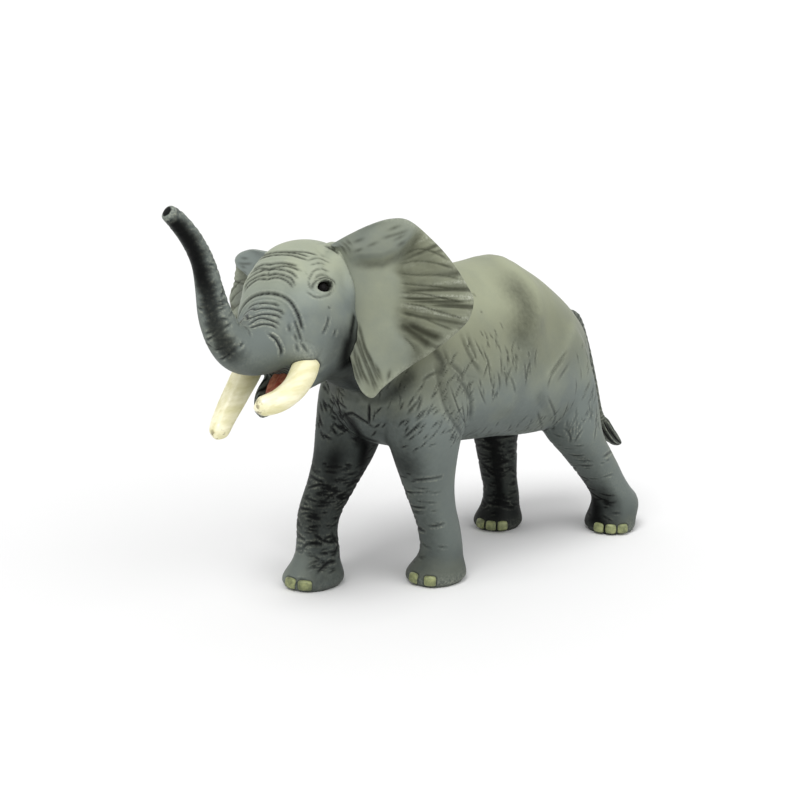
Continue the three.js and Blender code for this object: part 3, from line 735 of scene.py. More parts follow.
class Hide:
    """A closed surface of quads with a mask of dark wash and painted shade at its points."""

    def __init__(self, co, quads):
        self.co = co
        self.quads = quads
        sides = quad_sides(quads)
        sides.sort(1)
        self.edges = np.unique(sides, axis=0)
        self.neighbours = np.bincount(self.edges.ravel(), minlength=len(co)).clip(1)
        self.wash_and_shade = np.zeros(len(co))
        self.tree = None
        self.places = None

    def averaged(self, values, times, share=0.5):
        """Values at the points, evened out with their neighbours."""
        flat = values.ndim == 1
        out = values[:, None] if flat else values
        a, b = self.edges.T
        count = len(self.co)
        for _ in range(times):
            total = np.stack([
                np.bincount(a, column[b], count) + np.bincount(b, column[a], count)
                for column in out.T
            ], 1)
            out = out + share * (total / self.neighbours[:, None] - out)
        return out[:, 0] if flat else out

    def normals(self):
        a, b, c, d = (self.co[self.quads[:, i]] for i in range(4))
        face = np.cross(c - a, d - b)
        total = np.stack([
            np.bincount(self.quads.ravel(), np.repeat(face[:, k], 4), len(self.co))
            for k in range(3)
        ], 1)
        return total / np.linalg.norm(total, axis=1).clip(1e-12)[:, None]

    def settle(self):
        """Makes the search trees anew after the shape has changed."""
        self.tree = BVHTree.FromPolygons(self.co.tolist(), self.quads.tolist())
        self.places = kdtree.KDTree(len(self.co))
        for i, p in enumerate(self.co.tolist()):
            self.places.insert(p, i)
        self.places.balance()

    def nearness(self, spots, reach):
        """1 at some spots, falling softly to 0 away from them."""
        nearest = np.full(len(self.co), np.inf)
        for spot in spots:
            np.minimum(nearest, np.sum((self.co - spot) ** 2, 1), out=nearest)
        return np.exp(-nearest / reach ** 2)

    def swell(self, spots, radius, height):
        """A soft rise, or with a negative height a hollow, along some spots."""
        rise = height * self.nearness(spots, radius)
        self.co = self.co + self.normals() * rise[:, None]

    def near_mesh(self, mesh, reach, limit):
        """The points of the hide within a limit of another mesh, each with its nearness to it."""
        tree = BVHTree.FromPolygons(
            [v.co for v in mesh.vertices], [tuple(f.vertices) for f in mesh.polygons]
        )
        low = np.min([v.co for v in mesh.vertices], 0) - reach
        high = np.max([v.co for v in mesh.vertices], 0) + reach
        inside = np.all((self.co > low) & (self.co < high), 1)
        for i in np.nonzero(inside)[0].tolist():
            apart = tree.find_nearest(self.co[i], limit)[3]
            if apart is not None:
                yield i, math.exp(-(apart / reach) ** 2)

    def nearest_line(self, lines, reach, taper):
        """Points near the lines, with their distance and the strength of the line there."""
        found, apart, strength = [], [], []
        for line in lines:
            if len(line) < 2:
                continue
            steps = np.linalg.norm(np.diff(line, axis=0), axis=1)
            gone = np.concatenate([[0], np.cumsum(steps)])
            left = np.minimum(gone, gone[-1] - gone)
            fade = smoothstep(-0.25, 1, left / max(min(taper, gone[-1] / 2), 1e-6))
            for p, f in zip(line.tolist(), fade):
                for _, index, distance in self.places.find_range(p, reach):
                    found.append(index)
                    apart.append(distance)
                    strength.append(f)
        found, apart, strength = np.array(found, int), np.array(apart), np.array(strength)
        order = np.lexsort((apart, found))
        found, apart, strength = found[order], apart[order], strength[order]
        first = np.ones(len(found), bool)
        first[1:] = found[1:] != found[:-1]
        return found[first], apart[first], strength[first]

    def carve(self, lines, depth, width, lip=0.35, wash_and_shade=0.8, taper=1.5 * MM):
        """Grooves along lines, with a raised lip on either side and dark paint inside, which is both
        wash and painted shade.
        """
        lines = [line for line in lines if len(line) > 1]
        if not lines:
            return
        index, apart, strength = self.nearest_line(lines, GROOVE_REACH_SHARE * width, taper)
        groove = bell(apart, width)
        lips = bell(apart - LIP_PLACE_SHARE * width, LIP_WIDTH_SHARE * width)
        rise = np.zeros(len(self.co))
        rise[index] = depth * strength * (lip * lips - groove)
        self.co = self.co + self.normals() * rise[:, None]
        dark = np.zeros(len(self.co))
        dark[index] = wash_and_shade * strength * bell(apart, GROOVE_PAINT_SHARE * width)
        self.wash_and_shade = np.maximum(self.wash_and_shade, dark)


def jaw_rings():
    """The lower jaw with its mouth hollowed out between the lips."""
    hollow = np.array(MOUTH_HOLLOW_SHARES)[::-1]
    rings = []
    for ring in slab_rings(JAW_SHARES, JAW_LENGTH, JAW_LENGTH, JAW_WIDTH):
        along = ring[0, 1] / JAW_LENGTH
        if hollow[0, 0] < along < hollow[-1, 0]:
            ground = np.interp(along, hollow[:, 0], hollow[:, 1]) * JAW_LENGTH
            half = np.interp(along, hollow[:, 0], hollow[:, 2]) * JAW_WIDTH / 2
            inside = smoothstep(1.1, 0.7, np.abs(ring[:, 0]) / half)
            ring[:, 2] -= inside * np.maximum(ring[:, 2] - ground, 0)
        rings.append(ring + np.array([0.0, JAW_ALONG, JAW_RISE]))
    return rings


def base_forms():
    """The plain forms under the hide: torso, legs, head, trunk and lower jaw."""
    torso = skin_over(slab_rings(TORSO_SHARES, BODY_LENGTH, BACK_HEIGHT, BODY_WIDTH))
    head = skin_over(slab_rings(HEAD_SHARES, HEAD_LENGTH, HEAD_HEIGHT, HEAD_WIDTH))
    trunk = skin_over(path_rings(trunk_rows()))
    jaw = skin_over(jaw_rings())
    legs = [skin_over(leg_rings(name)) for name in LEG_SHARES]
    return [
        *((on_figure(points), faces) for points, faces in (torso, *legs)),
        *((on_head(points), faces) for points, faces in (head, trunk, jaw)),
    ]


def wandering(hide, rng, start, heading, length, wobble=0.2):
    """A line that sets out over the hide from a point, and bends a little as it goes."""
    here = Vector(start)
    heading = Vector(heading)
    line = [tuple(here)]
    swing = rng.normal(0, wobble)
    for _ in range(max(int(length / LINE_STEP), 2)):
        place, normal, _, _ = hide.tree.find_nearest(here + heading * LINE_STEP)
        if place is None:
            break
        heading = heading + normal.cross(heading) * swing * 0.12
        heading = heading - normal * heading.dot(normal)
        if heading.length < 1e-6:
            break
        heading.normalize()
        swing += rng.normal(0, wobble * 0.5)
        here = place
        line.append(tuple(here))
    return np.array(line)


def scattered_lines(hide, rng, mask, count, heading_at, length):
    """Short lines from random places where the mask is high, each going the way that it is told."""
    chance = mask / mask.sum()
    normals = hide.normals()
    lines = []
    for i in rng.choice(len(mask), count, p=chance):
        heading = Vector(heading_at(normals[i]))
        normal = Vector(normals[i])
        heading = heading - normal * heading.dot(normal)
        if heading.length < 0.2:
            continue
        heading.normalize()
        reach = rng.uniform(*length)
        back = hide.co[i] - np.array(heading) * reach / 2
        lines.append(wandering(hide, rng, back, heading, reach))
    return lines


# Photo lines on the head, carried to both its sides
HEAD_LINES = {
    "forehead": [
        [(259, 253), (278, 252), (296, 253), (310, 257)],
        [(270, 255), (290, 255), (308, 260)],
        [(278, 252), (302, 251.6), (318, 255)],
        [(260, 273), (274, 269), (290, 272), (298, 279)],
        [(262, 277), (276, 274), (290, 278), (295, 286)],
        [(265, 280), (278, 277.5), (288, 282), (293, 288)],
        [(270, 269), (286, 266), (302, 271)],
        [(268, 265), (282, 263), (298, 266)],
        [(252, 283), (262, 275), (270, 273)],
    ],
    "nape": [
        [(324, 245), (334, 250), (340, 255)],
        [(330, 244), (342, 247), (347, 253)],
        [(336, 243), (345, 245), (348, 250)],
    ],
    "arches": [
        [(250, 307), (262, 303), (274, 304), (280, 307)],
        [(249, 313), (262, 308), (278, 310), (284, 315)],
        [(248, 319), (262, 314), (276, 315), (282, 319)],
        [(248, 325), (260, 318), (274, 321), (280, 325)],
        [(249, 328), (262, 324), (272, 325), (278, 329)],
    ],
    "fold": [
        [(249, 303), (258, 295), (274, 294), (288, 300), (297, 313), (303, 331)],
        [(268, 333), (276, 339), (281, 349), (281, 357)],
    ],
    "cheek": [
        [(331, 306), (328, 309)],
        [(329, 315), (327, 325), (322, 335)],
        [(337, 327), (333, 338)],
        [(288, 323), (290, 333)],
        [(294, 319), (298, 331), (302, 343)],
        [(296, 343), (298, 353)],
        [(300, 341), (308, 353)],
        [(294, 333), (297, 342)],
    ],
    "lids": [
        [(314, 281), (318, 276), (324, 275), (330, 279), (331, 285)],
        [(308, 281), (314, 271), (322, 269), (330, 272)],
        [(308, 280), (310, 287), (314, 291)],
        [(306, 261), (318, 258), (330, 263)],
        [(310, 265), (320, 263), (326, 265)],
        [(306, 291), (316, 297), (328, 295), (334, 289)],
    ],
}

# Depth and width in mm, and paint, of each group of the head's lines
HEAD_CARVING = {
    "forehead": (0.33, 0.4, 0.9),
    "nape": (0.32, 0.45, 0.85),
    "arches": (0.4, 0.43, 0.95),
    "fold": (0.5, 0.46, 1.0),
    "cheek": (0.3, 0.42, 0.75),
    "lids": (0.22, 0.36, 0.62),
}

# Photo lines on the body, carried to both its sides
BODY_LINES = {
    "folds": [
        [(435, 360), (440, 385), (447, 410), (462, 435)],
        [(442, 345), (452, 370)],
        [(460, 332), (470, 355), (482, 375)],
        [(467, 332), (477, 360)],
        [(455, 372), (470, 397), (470, 422)],
        [(447, 360), (462, 375), (460, 390)],
    ],
    "chest": [
        [(369, 400), (369, 427)],
        [(332, 402), (355, 415), (374, 428)],
    ],
    "flank": [
        [(480, 330), (484, 337)],
        [(489, 332), (494, 340)],
        [(497, 340), (502, 355)],
        [(472, 292), (476, 297)],
        [(481, 310), (482, 314)],
        [(507, 290), (510, 294)],
        [(474, 338), (486, 362)],
        [(482, 345), (492, 372)],
        [(450, 385), (459, 410), (466, 425)],
        [(462, 400), (466, 430)],
        [(478, 385), (486, 405)],
    ],
    "haunch": [
        [(565, 357), (552, 375), (547, 390)],
        [(570, 362), (557, 382)],
        [(547, 395), (555, 415), (552, 425)],
        [(537, 410), (542, 427)],
        [(568, 350), (556, 366), (548, 378)],
    ],
}

# Depth and width in mm, and paint, of each group of the body's lines
BODY_CARVING = {
    "folds": (0.34, 0.85, 0.42),
    "chest": (0.36, 0.5, 0.9),
    "flank": (0.2, 0.34, 0.75),
    "haunch": (0.22, 0.5, 0.5),
}

# The ridge of the hip and the border of the haunch
HIP_RIDGE = [
    (502, 259), (520, 272), (534, 287), (539, 305), (537, 322), (530, 345), (522, 365),
    (517, 385), (510, 405),
]
HAUNCH_BORDER = [(575, 320), (570, 340), (560, 360), (550, 375)]

# Photo lines that the hide is raised along: the line, how far the rise spreads and its height in mm
RAISED_LINES = [(HIP_RIDGE, 3.4, 0.75), (HAUNCH_BORDER, 2.6, 0.5)]

# Wrinkles made by rule: how many, shortest and longest, depth and width, all in mm, and paint
WRINKLES = {
    "fine_rings": (430, 2, 7, 0.13, 0.36, 0.45),
    "deep_rings": (100, 5, 11, 0.22, 0.5, 0.6),
    "shoulder": (210, 3, 6, 0.2, 0.3, 0.8),
    "far_shoulder": (90, 3, 7, 0.24, 0.42, 0.95),
    "belly": (260, 2, 6, 0.2, 0.4, 0.4),
    "ribs": (90, 3, 8, 0.24, 0.38, 0.65),
    "thigh": (90, 2, 6, 0.2, 0.36, 0.5),
    "loin": (90, 3, 8, 0.2, 0.36, 0.55),
    "neck": (80, 3, 9, 0.28, 0.45, 0.6),
}

# Large forms of the head in its own frame: spots in millimetres, radius and height
HEAD_SWELLS = [
    ([(10.5, -37, 11.5), (13.5, -31, 13), (14.5, -25, 12)], 3.0, 0.9),
    ([(13, -19, 9)], 6.0, -0.9),
    ([(15.5, -26, -3)], 7.0, 0.8),
    ([(11, -41, -9), (11, -37, -3), (10, -35, 2)], 4.6, 1.1),
    ([(12.5, -39, -10), (13, -36.5, -13), (12, -35, -16)], 3.8, 1.8),
    ([(16, -12, -1), (16, -12, -8), (15, -14, -14)], 5.5, -2.6),
    ([(5.5, -44, 4)], 4.0, -0.5),
    ([(11, -18, 19.5), (12.5, -17, 15)], 3.8, 1.8),
]

# Large forms of the body in millimetres: spots, radius and height
BODY_SWELLS = [
    ([(0, y, z) for y, z in ((-42, 95), (-28, 98), (-12, 99), (4, 100), (18, 98), (30, 92), (42, 82))],
     3.6, 0.7),
    ([(24, -20, 74), (25, -24, 62)], 9.0, 0.9),
    ([(-24, -20, 74), (-25, -24, 62)], 9.0, 0.9),
    ([(24, 18, 78)], 8.0, -1.3),
    ([(-24, 18, 78)], 8.0, -1.3),
    ([(25, 4, 60)], 14.0, 0.8),
    ([(-25, 4, 60)], 14.0, 0.8),
    ([(16.5, 64, 10)], 5.0, 1.1),
    ([(16.5, 63, 19)], 3.4, -1.3),
    ([(23.5, 62.5, 2)], 4.2, -1.7),
    ([(16.0, 57, 26)], 5.0, 1.2),
    ([(-13, 36, 10)], 4.0, 0.7),
    ([(-13, 36, 26)], 5.0, 0.8),
    ([(11, -34, 33)], 5.0, 0.7),
    ([(-14, -60, 28)], 5.0, 0.7),
    ([(11, -15, 8)], 4.0, 0.6),
    ([(-14, -47, 8)], 4.0, 0.6),
]


def both_sides(line, frame_matrix, tree):
    """A line's part on the left side, and the same on the right."""
    left = line[moved(line, frame_matrix.inverted())[:, 0] > -MIDDLE_SLACK]
    return [left, mirrored(left, frame_matrix, tree)] if len(left) > 1 else []


def photo_lines(lines, frame_matrix, tree):
    """Photo lines on both sides of a frame; a line that crosses its middle plane stays in one piece."""
    out = []
    for line in lines:
        sides = both_sides(traced(line, tree), frame_matrix, tree)
        if sides and abs(moved(sides[0][:1], frame_matrix.inverted())[0, 0]) < MIDDLE_REACH:
            sides = [np.vstack([sides[1][::-1], sides[0]])]
        out += sides
    return out


def carve_photo_lines(hide, groups, carving, frame_matrix, **manner):
    """Grooves along the photo's lines, each group with its own depth, width and paint."""
    for group, lines in groups.items():
        depth, width, wash_and_shade = carving[group]
        found = photo_lines(lines, frame_matrix, hide.tree)
        hide.carve(found, depth * MM, width * MM, wash_and_shade=wash_and_shade, **manner)


def eye_places():
    """The middles of the eyeballs, left and right."""
    return [on_head([(side * EYE_PLACE[0], *EYE_PLACE[1:])])[0] for side in (1, -1)]


def shape_eyes(hide):
    """Sockets for the eyeballs, with a thick lid round each and a crease over it."""
    for place in eye_places():
        apart = np.linalg.norm(hide.co - place, axis=1)
        spot, normal, _, _ = hide.tree.find_nearest(Vector(place))
        out = np.array(normal)
        across = hide.co - np.array(spot)
        across = across - np.outer(across @ out, out)
        local = across @ np.array(HEAD_FRAME.to_3x3())
        from_axis = np.linalg.norm(local * EYE_OVAL_SHARES, axis=1)
        above = smoothstep(*LID_LEVELS, local[:, 2])
        near = bell(np.maximum(apart - EYE_REACH, 0), EYE_FADE)
        crease = above * bell(from_axis - CREASE_PLACE, CREASE_WIDTH)
        rise = (LID_HEIGHT + UPPER_LID_EXTRA * above) * bell(from_axis - LID_PLACE, LID_WIDTH)
        rise -= SOCKET_DEPTH * smoothstep(*SOCKET_EDGE, from_axis) + CREASE_DEPTH * crease
        hide.co = hide.co + out * (rise * near)[:, None]
        # Black paint in the socket round the eyeball, and painted shade in the crease over the lid
        dark = near * np.maximum(smoothstep(*SOCKET_PAINT_EDGE, from_axis), 0.78 * crease)
        hide.wash_and_shade = np.maximum(hide.wash_and_shade, dark)


def trunk_spine():
    """Places along the trunk on the part, with its direction, side, up, half thickness and length."""
    rows = smooth_rows(trunk_rows(), SPINE_STEPS)
    points = on_head(rows[:, :3])
    along = np.gradient(points, axis=0)
    along /= np.linalg.norm(along, axis=1)[:, None]
    side = np.array(HEAD_FRAME.to_3x3() @ Vector((1, 0, 0)))
    up = np.cross(along, side)
    up /= np.linalg.norm(up, axis=1)[:, None]
    gone = np.concatenate([[0], np.cumsum(np.linalg.norm(np.diff(points, axis=0), axis=1))])
    return points, along, side, up, rows[:, 3] / 2, gone


def trunk_rings(hide, rng):
    """Cross-wrinkles up the trunk: arcs on its back, and short broken ones on its front."""
    points, along, side, up, half, gone = trunk_spine()
    lines = {"back": [], "front": []}
    place = gone[-1] * TRUNK_RINGS_START_SHARE
    while place < gone[-1] * TRUNK_RINGS_END_SHARE:
        k = int(np.searchsorted(gone, place).clip(0, len(points) - 1))
        arcs = [("back", 90 + rng.normal(0, 14), rng.uniform(45, 95))]
        arcs += [("front", rng.normal(-56, 34), rng.uniform(12, 34)) for _ in range(2)]
        for kind, centre, reach in arcs:
            slope = rng.normal(0, 0.3)
            angles = np.radians(np.linspace(centre - reach, centre + reach, 24))
            ring = [
                points[k] + (math.cos(a) * side + math.sin(a) * up[k]) * half[k] * 1.05
                + along[k] * slope * half[k] * (a - math.radians(centre))
                for a in angles
            ]
            lines[kind].append(laid_on(ring, hide.tree))
        gap = LOWER_RING_GAP if place < gone[-1] / 2 else UPPER_RING_GAP
        place += rng.uniform(0.7, 1.3) * gap
    return lines


def weld_ears(hide, ears):
    """The hide drawn up round the upper roots of the ears, so that they grow out of the head."""
    upper = smoothstep(*WELD_LEVELS, in_head(hide.co)[:, 2])
    rise = np.zeros(len(hide.co))
    for mesh in ears:
        for i, nearness in hide.near_mesh(mesh, WELD_REACH, 2.2 * WELD_REACH):
            rise[i] = max(rise[i], upper[i] * nearness)
    hide.co = hide.co + hide.normals() * (hide.averaged(rise, 4) * WELD_RISE)[:, None]


def hide_surface(ears):
    """The finished hide: shaped, wrinkled, and washed with dark paint that is also painted shade in its
    grooves.
    """
    hide = Hide(*fused(base_forms(), VOXEL))
    soles = hide.co[:, 2] < SOLE_REACH
    rounds = int(round(26 * (0.5 * MM / VOXEL) ** 2))
    hide.co = hide.averaged(hide.co, max(rounds, 6))
    rng = np.random.default_rng(SEED)
    for spots, radius, height in HEAD_SWELLS:
        for side in (1, -1):
            places = on_head([(side * x * MM, y * MM, z * MM) for x, y, z in spots])
            hide.swell(places, radius * MM, height * MM)
    for spots, radius, height in BODY_SWELLS:
        places = on_figure([(x * MM, y * MM, z * MM) for x, y, z in spots])
        hide.swell(places, radius * MM, height * MM)
    hide.settle()
    for line, radius, height in RAISED_LINES:
        for one in both_sides(traced(line, hide.tree), FIGURE_FRAME, hide.tree):
            hide.swell(one, radius * MM, height * MM)
    weld_ears(hide, ears)
    hide.settle()
    shape_eyes(hide)
    carve_photo_lines(hide, HEAD_LINES, HEAD_CARVING, HEAD_FRAME)
    carve_photo_lines(hide, BODY_LINES, BODY_CARVING, FIGURE_FRAME, lip=0.12, taper=4 * MM)
    hide.settle()
    rings = trunk_rings(hide, rng)
    for kind, (depth, width, lip, wash_and_shade) in TRUNK_CARVING.items():
        hide.carve(rings[kind], depth * MM, width * MM, lip=lip, wash_and_shade=wash_and_shade)
    wrinkle_by_rule(hide, rng)
    hide.co[soles, 2] = 0
    hide.co = np.clip(hide.co, CAD_LOW, CAD_HIGH)
    return hide


def wrinkle_by_rule(hide, rng):
    """Fields of short wrinkles where the hide bends, each field with its own place and direction."""
    x, y, z = ((hide.co - np.array(FIGURE_SHIFT)) / MM).T
    normals = hide.normals()
    sideways = np.abs(normals[:, 0])
    inward = np.clip(-normals[:, 0] * np.sign(x), 0, 1)
    forward = np.clip(-normals[:, 1], 0, 1)
    knees = bell(z - 30, 9) + 0.9 * bell(z - 12, 6)
    far = np.where(x < 0, 1.0, 0.6)
    legs = (0.2 + knees) * (0.12 + inward + 0.5 * forward) * far * between(z, 3, 7, 36, 48)

    def round_the_leg(normal):
        return np.cross(normal, (0.0, 0.0, 1.0)) + np.array([0, 0, rng.normal(0, 0.16)])

    def up_and_back(_):
        return np.array([0, 0.76, 0.65]) + rng.normal(0, 0.12, 3)

    def up_and_down(_):
        return np.array([0, rng.normal(0.1, 0.2), 1.0])

    def down_and_left(_):
        return np.array([0.7, 0.3, -0.55]) + rng.normal(0, 0.12, 3)

    shoulder = between(z, 46, 52, 62, 80) * between(y, -58, -48, -28, -20)
    far_shoulder = between(z, 44, 52, 66, 74) * smoothstep(0, -6, x) * smoothstep(-38, -44, y)
    belly = between(z, 38, 42, 46, 54) * between(y, -26, -14, 26, 34)
    ribs = between(z, 56, 64, 76, 86) * between(y, -30, -18, -6, 10)
    thigh = between(z, 40, 50, 66, 78) * between(y, 26, 34, 48, 60)
    loin = between(z, 36, 44, 62, 74) * between(y, 18, 26, 40, 48)
    neck = smoothstep(50, 60, z) * between(y, -70, -60, -46, -38)
    fields = {
        "fine_rings": (legs, round_the_leg),
        "deep_rings": (legs, round_the_leg),
        "shoulder": (shoulder * sideways, up_and_back),
        "far_shoulder": (far_shoulder, down_and_left),
        "belly": (belly, up_and_down),
        "ribs": (ribs * sideways, up_and_down),
        "thigh": (thigh * sideways, up_and_back),
        "loin": (loin * sideways, up_and_down),
        "neck": (neck * (0.3 + sideways), up_and_back),
    }
    for name, (mask, heading_at) in fields.items():
        count, shortest, longest, depth, width, wash_and_shade = WRINKLES[name]
        lengths = (shortest * MM, longest * MM)
        lines = scattered_lines(hide, rng, mask, count, heading_at, lengths)
        hide.carve(lines, depth * MM, width * MM, lip=0.18, wash_and_shade=wash_and_shade, taper=2.5 * MM)


# Parting the hide into the figure's own pieces

HIDE_NODES = [
    "torso_left_shell", "torso_right_shell", "front_left_leg", "front_right_leg",
    "rear_left_leg", "rear_right_leg", "head", "trunk", "lower_jaw",
]


def owners_of(places):
    """For each place, the number of the CAD piece of the hide that lies nearest."""
    points, faces, owner = [], [], []
    for number, name in enumerate(HIDE_NODES):
        node = bpy.data.objects[name]
        offset = len(points)
        points += [node.matrix_world @ v.co for v in node.data.vertices]
        for face in node.data.polygons:
            faces.append([offset + i for i in face.vertices])
            owner.append(number)
    tree = BVHTree.FromPolygons(points, faces)
    return np.array([owner[tree.find_nearest(Vector(p))[2]] for p in places.tolist()])


def evened_labels(labels, pairs, rounds):
    """Labels of faces, each given over to what most of its neighbours have."""
    kinds = labels.max() + 1
    for _ in range(rounds):
        votes = np.zeros((len(labels), kinds))
        np.add.at(votes, (pairs[:, 0], labels[pairs[:, 1]]), 1)
        np.add.at(votes, (pairs[:, 1], labels[pairs[:, 0]]), 1)
        votes[np.arange(len(labels)), labels] += 1.5
        labels = votes.argmax(1)
    return labels


def without_islands(labels, pairs):
    """Labels with every patch but the largest of each kind given to its neighbours."""
    for _ in range(4):
        parent = list(range(len(labels)))

        def root(i):
            while parent[i] != i:
                parent[i] = parent[parent[i]]
                i = parent[i]
            return i

        same = pairs[labels[pairs[:, 0]] == labels[pairs[:, 1]]]
        for a, b in same.tolist():
            ra, rb = root(a), root(b)
            if ra != rb:
                parent[ra] = rb
        patch = np.array([root(i) for i in range(len(labels))])
        sizes = np.bincount(patch, minlength=len(labels))
        stray = np.zeros(len(labels), bool)
        for kind in range(labels.max() + 1):
            of_kind = np.unique(patch[labels == kind])
            if len(of_kind) > 1:
                largest = of_kind[sizes[of_kind].argmax()]
                stray |= (labels == kind) & (patch != largest)
        if not stray.any():
            return labels
        for _ in range(60):
            edge = pairs[stray[pairs[:, 0]] != stray[pairs[:, 1]]]
            if not len(edge):
                break
            inner = np.where(stray[edge[:, 0]], edge[:, 0], edge[:, 1])
            outer = np.where(stray[edge[:, 0]], edge[:, 1], edge[:, 0])
            labels[inner] = labels[outer]
            stray[inner] = False
    return labels


def face_pairs(quads):
    """Pairs of faces that share an edge."""
    sides = quad_sides(quads)
    face = np.tile(np.arange(len(quads)), 4)
    sides.sort(1)
    order = np.lexsort((sides[:, 1], sides[:, 0]))
    sides, face = sides[order], face[order]
    same = (sides[1:] == sides[:-1]).all(1)
    return np.stack([face[:-1][same], face[1:][same]], 1)


def boundary_loops(quads):
    """The open edges of some faces, chained into loops that run with the faces."""
    held = set(map(tuple, quad_sides(quads).tolist()))
    after = {}
    for a, b in held:
        if (b, a) not in held:
            after.setdefault(a, []).append(b)
    loops = []
    while after:
        first = next(iter(after))
        loop = [first]
        while True:
            here = loop[-1]
            following = after[here].pop()
            if not after[here]:
                del after[here]
            if following == first:
                break
            loop.append(following)
        loops.append(loop)
    return loops


def part_of_hide(hide, name, chosen, attributes, normals):
    """One closed piece of the hide: the chosen faces, and a cap inside over each opening."""
    quads = hide.quads[chosen]
    used, flat = np.unique(quads, return_inverse=True)
    quads = flat.reshape(-1, 4)
    points = hide.co[used]
    loops = boundary_loops(quads)
    hubs = [points[loop].mean(0) for loop in loops]
    caps = []
    for number, loop in enumerate(loops):
        hub = len(points) + number
        caps += [(b, a, hub) for a, b in zip(loop, [*loop[1:], loop[0]])]
    every = np.vstack([points, *[h[None] for h in hubs]])
    mesh = bpy.data.meshes.new(name)
    mesh.from_pydata(every.tolist(), [], [*quads.tolist(), *caps])
    at_hubs = np.zeros(len(hubs))
    set_masks(mesh, {key: np.append(values[used], at_hubs) for key, values in attributes.items()})
    smooth_faces(mesh)
    full = np.vstack([normals[used], np.tile([0.0, 0.0, 1.0], (len(hubs), 1))])
    mesh.normals_split_custom_set_from_vertices(full.tolist())
    return mesh


def add_piece(name, mesh, material, slot, *nodes):
    """One visible piece of the figure, standing for the nodes that are named."""
    piece = bpy.data.objects.new(name, mesh)
    bpy.context.scene.collection.objects.link(piece)
    mesh.materials.clear()
    mesh.materials.append(material)
    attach(piece, "root")
    if nodes:
        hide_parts(*nodes)
    return piece


# Ears

def ear_frame(name):
    """The frame of an ear's own plane, with its first axis out from the head and its last one up."""
    ear = EARS[name]
    side = ear["side"]
    return (
        HEAD_FRAME
        @ Matrix.Translation((side * EAR_PLACE[0], EAR_PLACE[1], EAR_PLACE[2]))
        @ Matrix.Diagonal((side, 1, 1, 1))
        @ Matrix.Rotation(math.radians(ear["sweep"]), 4, "Z")
        @ Matrix.Rotation(math.radians(-ear["tilt"]), 4, "Y")
    )


def ear_plan(name):
    """Grids of the ear's places in its own plane, their depth, and the shares outwards and along."""
    stretch = EARS[name]["stretch"]
    share = np.linspace(0, 1, EAR_COLUMNS + 1)
    size = np.array([EAR_REACH, EAR_HEIGHT * stretch])
    root = rows_at(EAR_ROOT_SHARES, share * (len(EAR_ROOT_SHARES) - 1)) * size
    root -= np.array([EAR_TENON, 0])
    rim = rows_at(EAR_RIM_SHARES, share * (len(EAR_RIM_SHARES) - 1)) * size
    t = np.linspace(0, 1, EAR_ROWS + 1) ** 0.9
    place = root[:, None] + (rim - root)[:, None] * t[None, :, None]
    reach = np.linalg.norm(rim - root, axis=1)[:, None] * t
    top = np.maximum(place[..., 1] / EAR_HEIGHT, 0)
    depth = EAR_CUP * (reach / EAR_REACH) ** 2 - EAR_TOP_ROLL * top * t
    across = np.broadcast_to(share[:, None], depth.shape)
    return place, depth, np.broadcast_to(t, depth.shape), across


def ear_points(name, place, depth):
    """Places in an ear's plane, each at its depth, as a list of places on the part."""
    local = np.stack([place[..., 0], depth, place[..., 1]], -1)
    return moved(local.reshape(-1, 3), ear_frame(name))


def grid_faces(rows, columns):
    """Quads over a grid whose points are listed column by column."""
    return [
        (i * rows + j, (i + 1) * rows + j, (i + 1) * rows + j + 1, i * rows + j + 1)
        for i in range(columns - 1) for j in range(rows - 1)
    ]


def closed_sheet_faces(rows, columns):
    """Quads over the front and the back of a sheet, and round its edge."""
    count = rows * columns
    faces = []
    for a, b, c, d in grid_faces(rows, columns):
        faces += [(a, b, c, d), (count + a, count + d, count + c, count + b)]
    edge = [i * rows for i in range(columns - 1)]
    edge += [(columns - 1) * rows + j for j in range(rows - 1)]
    edge += [i * rows + rows - 1 for i in range(columns - 1, 0, -1)]
    edge += list(range(rows - 1, 0, -1))
    faces += [(a, count + a, count + b, b) for a, b in zip(edge, [*edge[1:], edge[0]])]
    return faces


def near_ear_lines(groups):
    """Photo lines on the near ear as lines in the ear's plane."""
    place, depth, _, _ = ear_plan("ear_left")
    points = ear_points("ear_left", place, depth)
    tree = BVHTree.FromPolygons(points.tolist(), grid_faces(EAR_ROWS + 1, EAR_COLUMNS + 1))
    back = ear_frame("ear_left").inverted()
    out = {}
    for group, lines in groups.items():
        found = [moved(traced(line, tree), back)[:, [0, 2]] for line in lines]
        out[group] = [line for line in found if len(line) > 1]
    return out


def line_strength(places, line, width, taper):
    """How strongly a line marks the places of a plane, from 0 to 1, fading at its ends."""
    steps = np.linalg.norm(np.diff(line, axis=0), axis=1)
    gone = np.concatenate([[0], np.cumsum(steps)])
    fade = smoothstep(-0.2, 1, np.minimum(gone, gone[-1] - gone) / min(taper, gone[-1] / 2 + 1e-6))
    best = np.zeros(places.shape[:-1])
    for spot, strength in zip(line, fade):
        apart = np.sum((places - spot) ** 2, -1)
        best = np.maximum(best, strength * np.exp(-apart / width ** 2))
    return best


def ear_zones(name, place, t, crease):
    """An ear's zones: heights over the band's edge, where the band is, ways past the crease, ruffles."""
    plain = place / np.array([1, EARS[name]["stretch"]])
    out, up = plain[..., 0], plain[..., 1]
    band_out, band_up = (EAR_BAND_SHARES * np.array([EAR_REACH, EAR_HEIGHT])).T
    above = up - np.interp(out, band_out, band_up)
    in_band = smoothstep(band_out[-1] + 4 * MM, band_out[-1] - 2 * MM, out) * smoothstep(0.1, 0.4, t)
    order = np.argsort(crease[:, 1])
    past = out - np.interp(up, crease[order, 1], crease[order, 0])
    ruffled = smoothstep(-0.5 * MM, 4 * MM, past) * smoothstep(3 * MM, 0, above * in_band)
    return plain, above, in_band, past, ruffled


